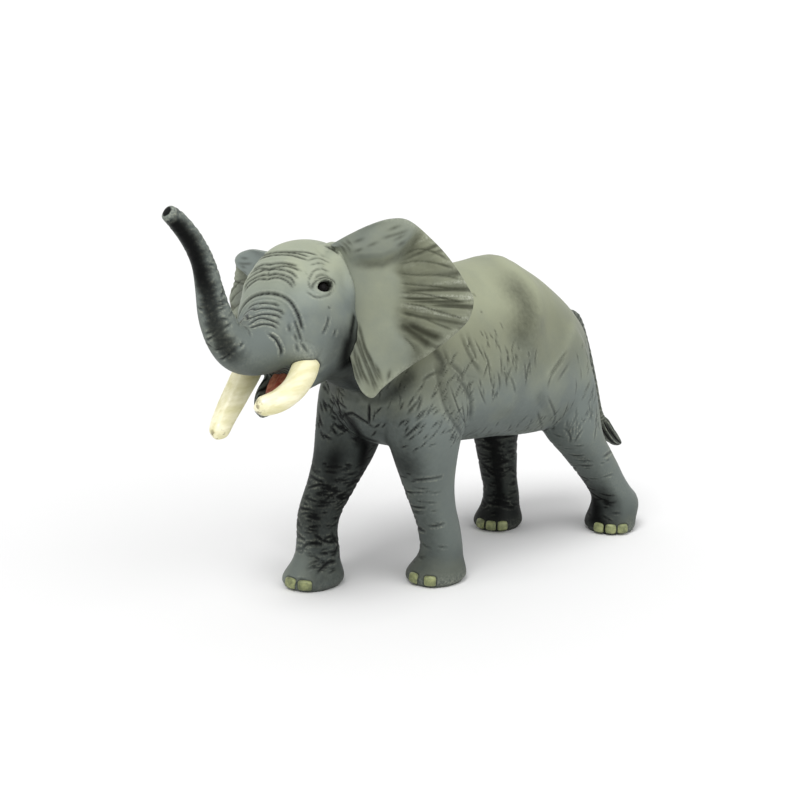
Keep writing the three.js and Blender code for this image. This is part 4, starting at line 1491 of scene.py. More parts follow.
def ear_pleats(across, t):
    """Uneven pleats that run out to the rim, from about -1 in a furrow to 1 on a ridge."""
    turn = 2 * math.pi * across
    broad = np.sin(23 * turn + 3.2 * np.sin(4.3 * turn + 2.4 * t))
    broad *= 0.45 + 0.55 * np.sin(3.7 * turn + 1.1 + 2 * t)
    middle = 0.7 * np.sin(15 * turn + 2.1 - 3.5 * t + 1.4 * np.sin(2.3 * turn))
    fine = np.sin(47 * turn + 2.4 * np.sin(7 * turn + 4 * t))
    fine *= 0.25 + 0.35 * np.sin(5.1 * turn - 3 * t)
    return (broad + middle + fine) / 1.5


def ear_relief(name, zones, pleat, t, across):
    """How far an ear's face stands out from its plain cup."""
    _, above, in_band, past, ruffled = zones
    roll = ROLL_RISE * smoothstep(*ROLL_RISE_SPAN, above)
    roll -= ROLL_FALL * smoothstep(*ROLL_FALL_SPAN, above)
    roll -= BAND_FOLD_DEPTH * bell(above - BAND_FOLD_PLACE, BAND_FOLD_WIDTH)
    relief = roll * in_band * EARS[name]["roll"]
    sharp = np.where(pleat < 0, -np.abs(pleat) ** 0.75, 0.7 * np.abs(pleat))
    relief += PLEAT_HEIGHT * ruffled * (0.5 + 0.7 * t) * sharp
    waves = np.sin(2 * math.pi * across * EAR_FOLDS)
    relief -= EAR_FOLD_DEPTH * waves * np.maximum(t - EAR_SMOOTH_SHARE, 0)
    under_band = 1 - in_band * smoothstep(0, BAND_EDGE, above)
    relief -= DIP_DEPTH * bell(past - DIP_PLACE, DIP_WIDTH) * under_band
    return relief


def ear_wash_and_shade(zones, pleat, t):
    """How dark the wash and painted shade lie on an ear's face: in the ruffles' furrows, past the
    crease, and painted shadow under the rolled band.
    """
    plain, above, in_band, past, ruffled = zones
    up = plain[..., 1]
    return np.maximum.reduce([
        0.8 * ruffled * smoothstep(0.05, -0.9, pleat),
        ruffled * (0.12 + 0.34 * smoothstep(0.95, 0.5, t)),
        0.5 * ruffled * smoothstep(9 * MM, 15 * MM, up) * smoothstep(1.0, 0.8, t),
        0.45 * bell(past - 2.4 * MM, 2.6 * MM) * smoothstep(14 * MM, -2 * MM, up),
        0.4 * in_band * bell(above - BAND_FOLD_PLACE, BAND_FOLD_WIDTH),
    ])


def on_both_faces(front, back_share=1.0):
    """Values of an ear's front face, followed by a share of them for its back."""
    return np.concatenate([front.ravel(), back_share * front.ravel()])


def ear_masks(name, zones, pleat, wash_and_shade, t, height):
    """Paint masks of an ear's two faces; the far ear is less olive and a little lighter, which is
    painted light for that side.
    """
    plain, above, in_band, _, ruffled = zones
    far = 0.0 if EARS[name]["side"] > 0 else 1.0
    banded = in_band * smoothstep(0, BAND_EDGE, above)
    dry = 0.8 * ruffled * smoothstep(0.3, 1.0, pleat) + 0.35 * smoothstep(0.9, 1.0, t)
    olive = 0.35 * (ruffled - banded)
    band_tone = 0.02 + 0.5 * np.clip(plain[..., 0] / EAR_REACH - 0.22, -0.2, 0.3)
    tone_and_shade = band_tone * banded - 0.16 * ruffled
    return {
        "wash_and_shade": on_both_faces(wash_and_shade, 0.5),
        "dry": on_both_faces(dry, 0.5),
        "olive": 0.55 - 0.4 * far + 0.1 * smoothstep(*EAR_OLIVE_LEVELS, height) + on_both_faces(olive),
        "tone_and_shade": 0.93 + 0.3 * far + on_both_faces(tone_and_shade),
    }


def ear_mesh(name, drawn):
    """The ear as a closed sheet: a rolled top, a smooth front panel and a ruffled outer part."""
    place, depth, t, across = ear_plan(name)
    zones = ear_zones(name, place, t, drawn["crease"][0])
    pleat = ear_pleats(across, t)
    relief = ear_relief(name, zones, pleat, t, across)
    wash_and_shade = ear_wash_and_shade(zones, pleat, t)
    for group, (cut, width, dark) in EAR_CARVING.items():
        for line in drawn[group]:
            relief -= cut * MM * line_strength(zones[0], line, width * MM, EAR_LINE_TAPER)
            mark = line_strength(zones[0], line, 1.15 * width * MM, EAR_LINE_TAPER)
            wash_and_shade = np.maximum(wash_and_shade, dark * mark)
    relief *= smoothstep(0, 0.25, t)
    half = (EAR_ROOT_THICKNESS + (EAR_RIM_THICKNESS - EAR_ROOT_THICKNESS) * t) / 2
    half *= np.sqrt(np.clip(1 - ((t - 0.97) / 0.033).clip(0, 1) ** 2, 0.12, 1))
    points = np.vstack([
        ear_points(name, place, depth - half - relief),
        ear_points(name, place, depth + half - 0.75 * relief),
    ])
    points = np.clip(points, CAD_LOW, CAD_HIGH)
    mesh = facing_out(mesh_of(name, points, closed_sheet_faces(EAR_ROWS + 1, EAR_COLUMNS + 1)))
    smooth_faces(mesh)
    set_masks(mesh, ear_masks(name, zones, pleat, wash_and_shade, t, points[:, 2]))
    return mesh


# Photo lines on the near ear, carried to both ears
EAR_LINES = {
    "crease": [
        [(410, 235), (398, 253), (390, 269), (396, 281), (398, 299), (395, 315), (398, 333),
         (408, 347), (410, 365)],
    ],
    "folds": [
        [(402, 255), (418, 249), (436, 253), (450, 261)],
        [(396, 265), (416, 261), (436, 263), (456, 269)],
        [(396, 273), (418, 275), (440, 275), (462, 279)],
        [(398, 283), (418, 285), (440, 287), (464, 291)],
        [(398, 293), (418, 293), (438, 297), (466, 303)],
        [(398, 303), (418, 305), (438, 311), (466, 319)],
        [(400, 313), (420, 317), (440, 325), (456, 331)],
        [(400, 333), (412, 345), (418, 357)],
    ],
    "deep": [
        [(398, 323), (416, 335), (434, 349), (438, 355)],
        [(404, 322), (424, 332), (444, 340)],
    ],
    "strokes": [
        [(352, 243), (366, 238)],
        [(366, 247), (380, 241)],
        [(386, 231), (402, 225)],
        [(392, 241), (408, 233)],
        [(380, 239), (400, 233), (410, 229)],
        [(354, 252), (364, 248)],
        [(396, 247), (406, 240)],
        [(332, 242), (342, 247), (347, 256)],
        [(338, 240), (347, 246), (351, 254)],
        [(345, 239), (353, 246)],
    ],
    "streaks": [
        [(354, 333), (362, 355), (370, 375), (376, 393)],
        [(360, 339), (370, 361), (380, 385)],
        [(366, 349), (376, 371), (384, 383)],
        [(390, 369), (388, 381)],
        [(356, 351), (362, 371), (370, 387)],
        [(358, 322), (364, 345), (372, 366)],
        [(353, 346), (357, 364), (364, 384)],
        [(352, 358), (356, 372), (361, 386)],
        [(357, 334), (364, 356), (369, 370)],
        [(366, 360), (373, 378), (379, 392)],
        [(374, 362), (382, 378)],
    ],
}

# Depth and width in mm, and paint, of each group of the ears' lines
EAR_CARVING = {
    "folds": (0.3, 0.4, 0.78),
    "deep": (0.7, 1.5, 0.95),
    "strokes": (0.28, 0.45, 0.5),
    "streaks": (0.42, 0.45, 0.7),
}


# Tusks, tongue, eyes and tail

def rounded_end(rows, radius):
    """Path rows whose thickness closes in a round end."""
    rows = smooth_rows(rows, END_STEPS)
    steps = np.linalg.norm(np.diff(rows[:, :3], axis=0), axis=1)
    left = np.concatenate([np.cumsum(steps[::-1])[::-1], [0]])
    inside = np.clip((radius - left) / radius, 0, 1)
    rows[:, 3] *= np.sqrt(np.clip(1 - inside ** 2, 0.02, 1))
    return rows


def rings_mesh(name, rings):
    """A smooth closed mesh over a row of rings."""
    mesh = facing_out(mesh_of(name, *skin_over(rings)))
    smooth_faces(mesh)
    return mesh


def tusk_mesh(name):
    """A tusk with a round end, and the share of the way along it as a mask."""
    side = 1 if name.endswith("left") else -1
    rows = scaled_rows(TUSK_SHARES[name], TUSK_ROOT, TUSK_REACH, TUSK_THICKNESS, side)
    rings = path_rings(rounded_end(rows, TUSK_END_RADIUS), TUSK_SIDES, steps=1)
    mesh = rings_mesh(name, [on_head(ring) for ring in rings])
    share = np.repeat(np.linspace(0, 1, len(rings)), TUSK_SIDES)
    set_masks(mesh, {"along": np.concatenate([share, [0, 1]])})
    return mesh


def tongue_mesh():
    """The tongue, with a groove along its middle."""
    rings = []
    for ring in slab_rings(TONGUE_SHARES, JAW_LENGTH, JAW_LENGTH, JAW_WIDTH):
        upper = ring[:, 2] > ring[:, 2].mean()
        ring[:, 2] -= upper * TONGUE_GROOVE_DEPTH * bell(ring[:, 0], TONGUE_GROOVE_WIDTH)
        rings.append(on_head(ring + np.array([0.0, JAW_ALONG, JAW_RISE])))
    return rings_mesh("tongue", rings)


def eye_mesh(name, place):
    """A round eyeball about a place."""
    shape = bmesh.new()
    bmesh.ops.create_icosphere(shape, subdivisions=5, radius=EYE_RADIUS)
    bmesh.ops.translate(shape, verts=shape.verts, vec=Vector(place))
    mesh = bpy.data.meshes.new(name)
    shape.to_mesh(mesh)
    shape.free()
    smooth_faces(mesh)
    return mesh


def tail_mesh():
    """A round tail with fine cross-creases, ending in a tuft of moulded strands."""
    rings = path_rings(rounded_end(tail_rows(), TAIL_END_RADIUS), TAIL_SIDES, steps=1)
    angle = 2 * math.pi * np.arange(TAIL_SIDES) / TAIL_SIDES
    out, wash_and_shade = [], []
    for share, ring in zip(np.linspace(0, 1, len(rings)), rings):
        centre = ring.mean(0)
        tuft = smoothstep(0.6, 0.72, share)
        strands = np.sin(7 * angle + 5 * share) + 0.6 * np.sin(16 * angle - 9 * share)
        crease = math.sin(share * 210) * (1 - tuft)
        growth = 1 + 0.16 * tuft * strands - 0.05 * crease
        out.append(on_figure(centre + (ring - centre) * growth[:, None]))
        # Dark wash, with painted shade, between the strands of the tuft and in the creases
        wash_and_shade.append(np.clip(0.3 + 0.25 * tuft - 0.45 * tuft * strands + 0.3 * crease, 0, 1))
    mesh = rings_mesh("tail", out)
    masks = np.concatenate([*wash_and_shade, [0, 0]])
    set_masks(mesh, {
        "wash_and_shade": masks,
        "dry": np.clip(0.5 - masks, 0, 1),
        "olive": np.full(len(masks), 0.25),
        "tone_and_shade": np.full(len(masks), 0.6),
    })
    return mesh


# Toenails, set round the front of each foot by a node tree

def toenail_tree():
    """A tree that puts one nail plate at each given point, turned as the point says."""
    tree = bpy.data.node_groups.new("toenails", "GeometryNodeTree")
    socket = tree.interface.new_socket
    socket("Geometry", in_out="INPUT", socket_type="NodeSocketGeometry")
    socket("Size", in_out="INPUT", socket_type="NodeSocketVector")
    socket("Material", in_out="INPUT", socket_type="NodeSocketMaterial")
    socket("Geometry", in_out="OUTPUT", socket_type="NodeSocketGeometry")
    add = tree.nodes.new
    given = add("NodeGroupInput")
    result = add("NodeGroupOutput")
    block = add("GeometryNodeMeshCube")
    rounder = add("GeometryNodeSubdivisionSurface")
    rounder.inputs["Level"].default_value = 4
    rounder.inputs["Edge Crease"].default_value = 0.3
    turn = add("GeometryNodeInputNamedAttribute")
    turn.data_type = "FLOAT_VECTOR"
    turn.inputs["Name"].default_value = "turn"
    place = add("GeometryNodeInstanceOnPoints")
    solid = add("GeometryNodeRealizeInstances")
    smooth = add("GeometryNodeSetShadeSmooth")
    coat = add("GeometryNodeSetMaterial")
    link = tree.links.new
    link(given.outputs["Size"], block.inputs["Size"])
    link(block.outputs["Mesh"], rounder.inputs["Mesh"])
    link(given.outputs["Geometry"], place.inputs["Points"])
    link(rounder.outputs["Mesh"], place.inputs["Instance"])
    link(turn.outputs["Attribute"], place.inputs["Rotation"])
    link(place.outputs["Instances"], solid.inputs["Geometry"])
    link(solid.outputs["Geometry"], smooth.inputs["Geometry"])
    link(smooth.outputs["Geometry"], coat.inputs["Geometry"])
    link(given.outputs["Material"], coat.inputs["Material"])
    link(coat.outputs["Geometry"], result.inputs["Geometry"])
    return tree


def toenail_places(name):
    """Where a foot's nail plates stand round its front, and how each is turned."""
    _, side, along, across, depth = LEG_SHARES[name][NAIL_STATION]
    places, turns = [], []
    for degrees in NAILS[name][1]:
        angle = math.radians(degrees)
        x = side * BODY_WIDTH + (across * LEG_THICKNESS / 2 - NAIL_SINK) * math.sin(angle)
        y = along * BODY_LENGTH - (depth * LEG_THICKNESS / 2 - NAIL_SINK) * math.cos(angle)
        places.append((x, y, NAIL_RISE))
        turns.append((NAIL_LEAN, 0.0, angle))
    return on_figure(places), turns


def toenail_mesh(name, tree, material):
    """The nail plates of one foot as one mesh."""
    places, turns = toenail_places(name)
    mesh = bpy.data.meshes.new(name)
    mesh.from_pydata(places.tolist(), [], [])
    layer = mesh.attributes.new("turn", "FLOAT_VECTOR", "POINT")
    layer.data.foreach_set("vector", np.ravel(turns))
    made = bpy.data.objects.new(name, mesh)
    bpy.context.scene.collection.objects.link(made)
    grown = made.modifiers.new("toenails", "NODES")
    grown.node_group = tree
    sockets = {s.name: s.identifier for s in tree.interface.items_tree if s.in_out == "INPUT"}
    grown[sockets["Size"]] = (NAILS[name][0], NAIL_THICKNESS, NAIL_HEIGHT)
    grown[sockets["Material"]] = material
    return evaluated_mesh(made)


# Paint

def paint(red, green, blue):
    """A colour written as on a screen, made linear."""

    def linear(v):
        v = v / 255
        return v / 12.92 if v <= 0.04045 else ((v + 0.055) / 1.055) ** 2.4

    return (linear(red), linear(green), linear(blue), 1.0)


class Nodes:
    """Short ways to build a node tree."""

    def __init__(self, tree):
        self.tree = tree

    def add(self, kind, inputs=None, **settings):
        made = self.tree.nodes.new(kind)
        for key, value in settings.items():
            setattr(made, key, value)
        for key, value in (inputs or {}).items():
            self.feed(made.inputs[key], value)
        return made

    def feed(self, socket, value):
        """Links another node's socket to this one, or writes a plain value in it."""
        if isinstance(value, bpy.types.NodeSocket):
            self.tree.links.new(value, socket)
        else:
            socket.default_value = value

    def mask(self, name):
        return self.add("ShaderNodeAttribute", attribute_name=name).outputs["Fac"]

    def noise(self, scale, detail=3.0, roughness=0.55, stretch=None):
        where = self.add("ShaderNodeTexCoord").outputs["Object"]
        if stretch:
            mapped = self.add("ShaderNodeMapping", {"Vector": where, "Scale": stretch})
            where = mapped.outputs["Vector"]
        return self.add("ShaderNodeTexNoise", {
            "Vector": where, "Scale": scale, "Detail": detail, "Roughness": roughness,
        }).outputs["Fac"]

    def span(self, value, low, high, to_low=0.0, to_high=1.0):
        return self.add("ShaderNodeMapRange", {
            "Value": value, "From Min": low, "From Max": high, "To Min": to_low, "To Max": to_high,
        }).outputs["Result"]

    def mix(self, share, first, second, blend="MIX"):
        made = self.add("ShaderNodeMix", {0: share, 6: first, 7: second},
                        data_type="RGBA", blend_type=blend)
        return made.outputs[2]

    def number(self, operation, first, second, clamp=False):
        made = self.add("ShaderNodeMath", {0: first, 1: second}, operation=operation, use_clamp=clamp)
        return made.outputs[0]

    def bump(self, height, strength, distance):
        made = self.add("ShaderNodeBump", {"Height": height, "Strength": strength, "Distance": distance})
        return made.outputs["Normal"]


def node_group(name, inputs, outputs):
    """An empty group with named sockets, c for a colour and f for a number."""
    group = bpy.data.node_groups.new(name, "ShaderNodeTree")
    kinds = {"c": "NodeSocketColor", "f": "NodeSocketFloat"}
    for key, kind in inputs:
        group.interface.new_socket(key, in_out="INPUT", socket_type=kinds[kind])
    for key, kind in outputs:
        group.interface.new_socket(key, in_out="OUTPUT", socket_type=kinds[kind])
    nodes = Nodes(group)
    return group, nodes, nodes.add("NodeGroupInput"), nodes.add("NodeGroupOutput")


def wash_and_shade_group():
    """Dark paint that stays in the hollows and also lays painted shade where the mask says, and light
    paint brushed over the ridges.
    """
    group, n, given, result = node_group(
        "wash_and_painted_shade",
        (("Colour", "c"), ("Hollow", "f"), ("Ridge", "f"), ("Dark", "c"), ("Light", "c")),
        (("Colour", "c"),),
    )
    depth = given.outputs["Hollow"]
    unsure = n.number("MULTIPLY", depth, n.number("SUBTRACT", 1.0, depth))
    speckle = n.number("MULTIPLY", n.span(n.noise(620, 4.0), 0.3, 0.7, -0.28, 0.28), unsure)
    hollow = n.number("ADD", depth, speckle, clamp=True)
    ridge = n.number("MULTIPLY", given.outputs["Ridge"], n.span(n.noise(1400, 2.0), 0.35, 0.65))
    brushed = n.mix(ridge, given.outputs["Colour"], given.outputs["Light"])
    washed_and_shaded = n.mix(hollow, brushed, given.outputs["Dark"])
    n.feed(result.inputs["Colour"], washed_and_shaded)
    return group


def skin_grain_group():
    """The fine pores and creases of the moulded skin, as a height."""
    group, n, _, result = node_group("skin_grain", (), (("Height", "f"), ("Blotch", "f")))
    where = n.add("ShaderNodeTexCoord").outputs["Object"]
    pores = n.add("ShaderNodeTexVoronoi", {"Vector": where, "Scale": 1100.0}, feature="F1")
    folds = n.noise(420, 4.0, 0.6, (1, 1, 1.8))
    pits = n.span(pores.outputs["Distance"], 0.0, 0.7)
    height = n.number("ADD", pits, n.number("MULTIPLY", folds, 1.6))
    n.feed(result.inputs["Height"], height)
    n.feed(result.inputs["Blotch"], n.noise(70, 4.0, 0.6))
    return group


def new_material(name):
    """A material with its shader and the short ways to build its tree."""
    material = bpy.data.materials.new(name)
    material.use_nodes = True
    n = Nodes(material.node_tree)
    shader = material.node_tree.nodes["Principled BSDF"]
    return material, n, shader


def hide_material(name, groups, dark, light, roughness=0.46, bump=0.16):
    """Painted vinyl: slate grey that turns olive where the mask says, washed, darkened with painted
    shade, and brushed.
    """
    washed_and_shaded, grain = groups
    material, n, shader = new_material(name)
    skin = n.add("ShaderNodeGroup", node_tree=grain)
    blotch = skin.outputs["Blotch"]
    olive = n.number("ADD", n.mask("olive"), n.span(blotch, 0.35, 0.65, -0.16, 0.16))
    base = n.mix(olive, SLATE, OLIVE)
    lifted = n.span(n.noise(38, 3.0), 0.3, 0.7, 0.9, 1.08)
    toned = n.mix(1.0, base, n.number("MULTIPLY", n.mask("tone_and_shade"), lifted), "MULTIPLY")
    painted = n.add("ShaderNodeGroup", {
        "Colour": toned, "Hollow": n.mask("wash_and_shade"), "Ridge": n.mask("dry"),
        "Dark": dark, "Light": light,
    }, node_tree=washed_and_shaded)
    n.feed(shader.inputs["Base Color"], painted.outputs["Colour"])
    rough = n.span(blotch, 0.3, 0.7, roughness - 0.06, roughness + 0.08)
    n.feed(shader.inputs["Roughness"], rough)
    n.feed(shader.inputs["Normal"], n.bump(skin.outputs["Height"], bump, HIDE_GRAIN_DEPTH))
    shader.inputs["Specular IOR Level"].default_value = 0.07
    return material


def tusk_material():
    """Cream paint with faint streaks, deeper at the root and worn in specks at the tip."""
    material, n, shader = new_material("painted_ivory")
    along = n.mask("along")
    streak = n.noise(160, 3.0, 0.6, (2.5, 0.5, 2.5))
    cream = n.mix(n.span(streak, 0.35, 0.7), IVORY, IVORY_SHADE)
    base = n.mix(n.span(along, 0.5, 0.1, 0.0, 0.55), cream, IVORY_SHADE)
    speck = n.span(n.noise(420, 3.0, 0.65), 0.53, 0.6)
    near_tip = n.span(along, 0.8, 0.95)
    worn = n.mix(n.number("MULTIPLY", speck, near_tip), base, TUSK_SPECK)
    n.feed(shader.inputs["Base Color"], worn)
    n.feed(shader.inputs["Roughness"], n.span(streak, 0.3, 0.7, 0.3, 0.44))
    n.feed(shader.inputs["Normal"], n.bump(streak, 0.12, TUSK_STREAK_DEPTH))
    return material


def simple_material(name, first, second, scale, roughness, bump):
    """Two shades of one paint, blotched, with a fine bump."""
    material, n, shader = new_material(name)
    blotch = n.noise(scale, 4.0, 0.6)
    n.feed(shader.inputs["Base Color"], n.mix(n.span(blotch, 0.35, 0.65), first, second))
    rough = n.span(blotch, 0.3, 0.7, roughness - 0.05, roughness + 0.07)
    n.feed(shader.inputs["Roughness"], rough)
    n.feed(shader.inputs["Normal"], n.bump(blotch, bump, PAINT_BLOTCH_DEPTH))
    return material


def eye_material():
    """Glossy black with a trace of brown."""
    material, n, shader = new_material("gloss_eye")
    n.feed(shader.inputs["Base Color"], n.mix(n.noise(300), EYE_BLACK, EYE_BROWN))
    shader.inputs["Roughness"].default_value = 0.1
    shader.inputs["Specular IOR Level"].default_value = 0.08
    return material


SLATE = paint(113, 121, 117)
OLIVE = paint(150, 154, 131)
# Near-black of the wash, which also paints the shade in hollows, underneath and between the forms
SHADE_AND_WASH_BLACK = paint(4, 5, 5)
# Dark olive of the ears' wash, which also paints the shade under the rolled band and past the crease
EAR_SHADE_AND_WASH = paint(48, 49, 38)
BRUSHED = paint(172, 176, 160)
IVORY = paint(245, 240, 208)
IVORY_SHADE = paint(215, 209, 158)
TUSK_SPECK = paint(96, 82, 52)
MOUTH_RED = paint(158, 72, 56)
MOUTH_PINK = paint(206, 140, 110)
EYE_BLACK = paint(4, 4, 4)
EYE_BROWN = paint(12, 9, 8)
NAIL_YELLOW = paint(146, 152, 104)
NAIL_OLIVE = paint(92, 98, 66)


# Masks of the hide's paint

def hollows_and_ridges(hide, normals):
    """How much each place lies in a hollow, and how much on a ridge."""
    near = hide.averaged(hide.co, 5)
    wide = hide.averaged(near, 26)
    fine = np.sum((near - hide.co) * normals, 1) / FINE_RELIEF
    broad = np.sum((wide - near) * normals, 1) / BROAD_RELIEF
    hollow = 0.5 * np.clip(fine - 0.1, 0, 1) + 0.35 * np.clip(broad - 0.1, 0, 1)
    return np.clip(hollow, 0, 1), np.clip(-fine - 0.12, 0, 1)


def shade_of_legs(x, y, z, normals):
    """Painted shade on the faces of the legs and chest that turn inwards or forwards, leg by leg."""
    inward = smoothstep(0.1, 0.85, -normals[:, 0] * np.sign(x))
    forward = smoothstep(0.2, 0.95, -normals[:, 1])
    at_front = y < 0
    at_left = x > 0
    on_front = np.select(
        [at_front & at_left, at_front & (x < 0), at_left & (y > 20)],
        [0.22, 0.4 * between(z, 8, 24, 36, 48), 0.12 + 0.5 * smoothstep(24, 14, z)],
        0.6,
    )
    chest = forward * between(z, 34, 42, 60, 66) * smoothstep(-30, -42, y)
    return smoothstep(52, 42, z) * (0.55 * inward + on_front * forward) + 0.38 * chest


def hide_masks(hide):
    """Paint masks from the finished shape: hollows, ridges, the drift from slate to olive, and painted
    shade and light in the tone and the wash.
    """
    normals = hide.normals()
    hollow, ridge = hollows_and_ridges(hide, normals)
    x, y, z = ((hide.co - np.array(FIGURE_SHIFT)) / MM).T
    _, head_y, head_z = (in_head(hide.co) / MM).T
    in_front = smoothstep(-44, -54, y) * smoothstep(62, 68, z)
    trunk = smoothstep(-40, -50, head_y) * in_front
    upward = np.clip(normals[:, 2], 0, 1)
    body_olive = np.clip(0.95 * smoothstep(50, 86, z) + 0.2 * upward, 0, 1)
    head_olive = 0.1 + 0.5 * smoothstep(0, 14, head_z)
    olive = body_olive * (1 - in_front) + head_olive * in_front * (1 - trunk)
    # Painted shade and light in the tone: it darkens towards the bottom, on the feet, on the far side
    # and on the cheek, and lightens the far front foot and the brow; the trunk and the flank are darker
    # too
    clear_foot = np.where(y < 0, 1 - 0.9 * smoothstep(22, 8, z), 1)
    far = smoothstep(0, -8, x) * smoothstep(64, 48, z) * clear_foot
    low_foot = smoothstep(16, 4, z) * np.where((x < 0) & (y < 0), -0.15, 0.32)
    flank = between(z, 58, 70, 78, 92) * (1 - in_front)
    cheek = in_front * smoothstep(-34, -22, head_y) * smoothstep(0, -8, head_z)
    brow = in_front * (1 - trunk) * smoothstep(0, 8, head_z)
    tone_and_shade = 1.0 - 0.2 * smoothstep(52, 20, z) - low_foot - 0.38 * far
    tone_and_shade *= (1 - 0.15 * trunk) * (1 - 0.25 * flank) * (1 - 0.7 * cheek) * (1 + 0.33 * brow)
    # Painted shade on the faces that turn down
    shade_underneath = smoothstep(0.1, -0.7, normals[:, 2]) * smoothstep(3, 8, z)
    # Wash in the fine and broad hollows, which also stands for the shade that gathers there
    hide.wash_and_shade = np.maximum(hide.wash_and_shade, 0.85 * hollow)
    hide.wash_and_shade = hide.wash_and_shade + 0.25 * shade_underneath + shade_of_legs(x, y, z, normals)
    hide.wash_and_shade = np.clip(hide.wash_and_shade, 0, 0.98)
    dry = (0.4 + 0.35 * np.maximum(trunk, smoothstep(52, 42, z))) * ridge
    return {"wash_and_shade": hide.wash_and_shade, "dry": dry, "olive": olive, "tone_and_shade": tone_and_shade}, normals


# Places on the photo where the paint is dark all over: the line, how far it spreads in mm, how dark
# Painted shade, laid dark where shade falls between and behind the forms of the body and on the feet
SHADE_PLACES = [
    ([(354, 318), (351, 334), (349, 345)], 1.5, 1.0),
    ([(348, 344), (346, 354), (346, 364)], 3.4, 1.0),
    ([(338, 340), (334, 352), (328, 362)], 4.0, 0.3),
    ([(518, 292), (525, 303), (527, 318), (523, 334)], 6.5, 0.52),
    ([(522, 338), (520, 352)], 5.0, 0.22),
    ([(346, 378), (356, 388), (370, 400), (384, 400), (398, 389), (410, 377)], 2.4, 0.6),
    ([(346, 416), (354, 428), (364, 437), (374, 441)], 3.2, 0.95),
    ([(594, 500), (596, 512), (594, 520)], 6.0, 0.99),
    ([(596, 516), (600, 524), (606, 529)], 5.0, 0.99),
    ([(336, 400), (346, 396), (358, 400)], 3.0, 0.5),
    ([(436, 352), (442, 362), (441, 374)], 1.6, 0.65),
    ([(441, 382), (448, 402), (460, 424)], 1.8, 0.35),
    ([(540, 398), (548, 412), (550, 424)], 2.6, 0.3),
    ([(476, 448), (488, 444), (500, 444)], 3.0, 0.6),
]


# Shade on the far front leg behind the chest, on that leg alone
SHADE_BEHIND_CHEST = ([(352, 424), (360, 436), (365, 446), (363, 462)], 4.6, 0.99)


def paint_shade_places(hide):
    """The deep shade painted between the forms of the body, on both its sides."""
    places = []
    for line, spread, strength in SHADE_PLACES:
        found = traced(line, hide.tree)
        places += [(one, spread, strength)
                   for one in [found, *both_sides(found, FIGURE_FRAME, hide.tree)[1:]]]
    line, spread, strength = SHADE_BEHIND_CHEST
    places.append((traced(line, hide.tree), spread, strength))
    for one, spread, strength in places:
        hide.wash_and_shade = np.maximum(hide.wash_and_shade, strength * hide.nearness(one[::2], spread * MM))


# Raised lines on the photo that carry lighter paint: the line, how far it spreads in mm, how light
LIGHT_PLACES = [
    (HIP_RIDGE[:6], 2.2, 0.12),
    (HAUNCH_BORDER, 1.8, 0.12),
]


def paint_light_places(hide, tone_and_shade):
    """Lighter paint along the ridges of the hip and the haunch."""
    for line, spread, strength in LIGHT_PLACES:
        for one in both_sides(traced(line, hide.tree), FIGURE_FRAME, hide.tree):
            tone_and_shade = tone_and_shade * (1 + strength * hide.nearness(one, spread * MM))
    return tone_and_shade


def trunk_paint(hide):
    """The black strip down the trunk's front, and the dark nostril at its tip."""
    points, along, side, up, half, gone = trunk_spine()
    share = gone / gone[-1]
    tree = kdtree.KDTree(len(points))
    for i, p in enumerate(points.tolist()):
        tree.insert(p, i)
    tree.balance()
    angles = np.interp(share, STRIP_SHARES, STRIP_ANGLES)
    widths = np.interp(share, STRIP_SHARES, STRIP_WIDTHS)
    widths = widths + 5 * np.sin(90 * share) + 4 * np.sin(233 * share)
    darkness = smoothstep(0.32, 0.42, share) * smoothstep(1.0, 0.955, share)
    darkness = darkness * (0.86 + 0.13 * smoothstep(0.52, 0.7, share))
    ahead = in_head(hide.co)[:, 1] < -0.8 * HEAD_LENGTH
    for i in np.nonzero(ahead)[0].tolist():
        _, k, apart = tree.find(hide.co[i])
        if apart > 1.6 * half[k] or share[k] < 0.25:
            continue
        off = hide.co[i] - points[k]
        angle = math.degrees(math.atan2(float(off @ up[k]), float(off @ side)))
        strip = darkness[k] * math.exp(-((angle - angles[k]) / widths[k]) ** 4)
        from_axis = np.linalg.norm(off - along[k] * float(off @ along[k]))
        nostril = share[k] > 0.99 and from_axis < NOSTRIL_SHARE * half[k]
        hide.wash_and_shade[i] = max(hide.wash_and_shade[i], strip, 0.99 if nostril else 0.0)


def shade_where_set_in(hide, meshes, reach, strength):
    """Painted shade on the hide close to pieces that are let into it, of a given strength at each point.
    """
    for mesh in meshes:
        for i, nearness in hide.near_mesh(mesh, reach, 2 * reach):
            hide.wash_and_shade[i] = max(hide.wash_and_shade[i], strength[i] * nearness)


def paint_mouth(hide):
    """Dark paint in stripes inside the mouth."""
    x, y, z = (in_head(hide.co) / MM).T
    normals = hide.normals() @ np.array(HEAD_FRAME.to_3x3())
    ground = np.interp(y, *np.array(MOUTH_FLOOR).T)
    inside = smoothstep(7.0, 5.2, np.abs(x)) * smoothstep(-49, -47.5, y) * smoothstep(-26, -30, y)
    inside = inside * smoothstep(1.6, 0.2, np.abs(z - ground) - 3.2)
    inside = inside * np.clip(0.25 + np.abs(normals[:, 2]) + np.abs(normals[:, 0]), 0, 1)
    stripes = np.clip(0.45 + 0.6 * np.sin(x * 5.2), 0.1, 0.95)
    share = smoothstep(0.15, 0.45, inside)
    hide.wash_and_shade = hide.wash_and_shade * (1 - share) + stripes * share


# Everything together

def smooth_faces(mesh):
    """Shades a mesh smoothly all over."""
    mesh.polygons.foreach_set("use_smooth", [True] * len(mesh.polygons))
    mesh.update()


def set_masks(mesh, masks):
    """Writes named values at a mesh's points, for its material to read."""
    for key, values in masks.items():
        layer = mesh.attributes.new(key, "FLOAT", "POINT")
        layer.data.foreach_set("value", np.asarray(values, np.float32))


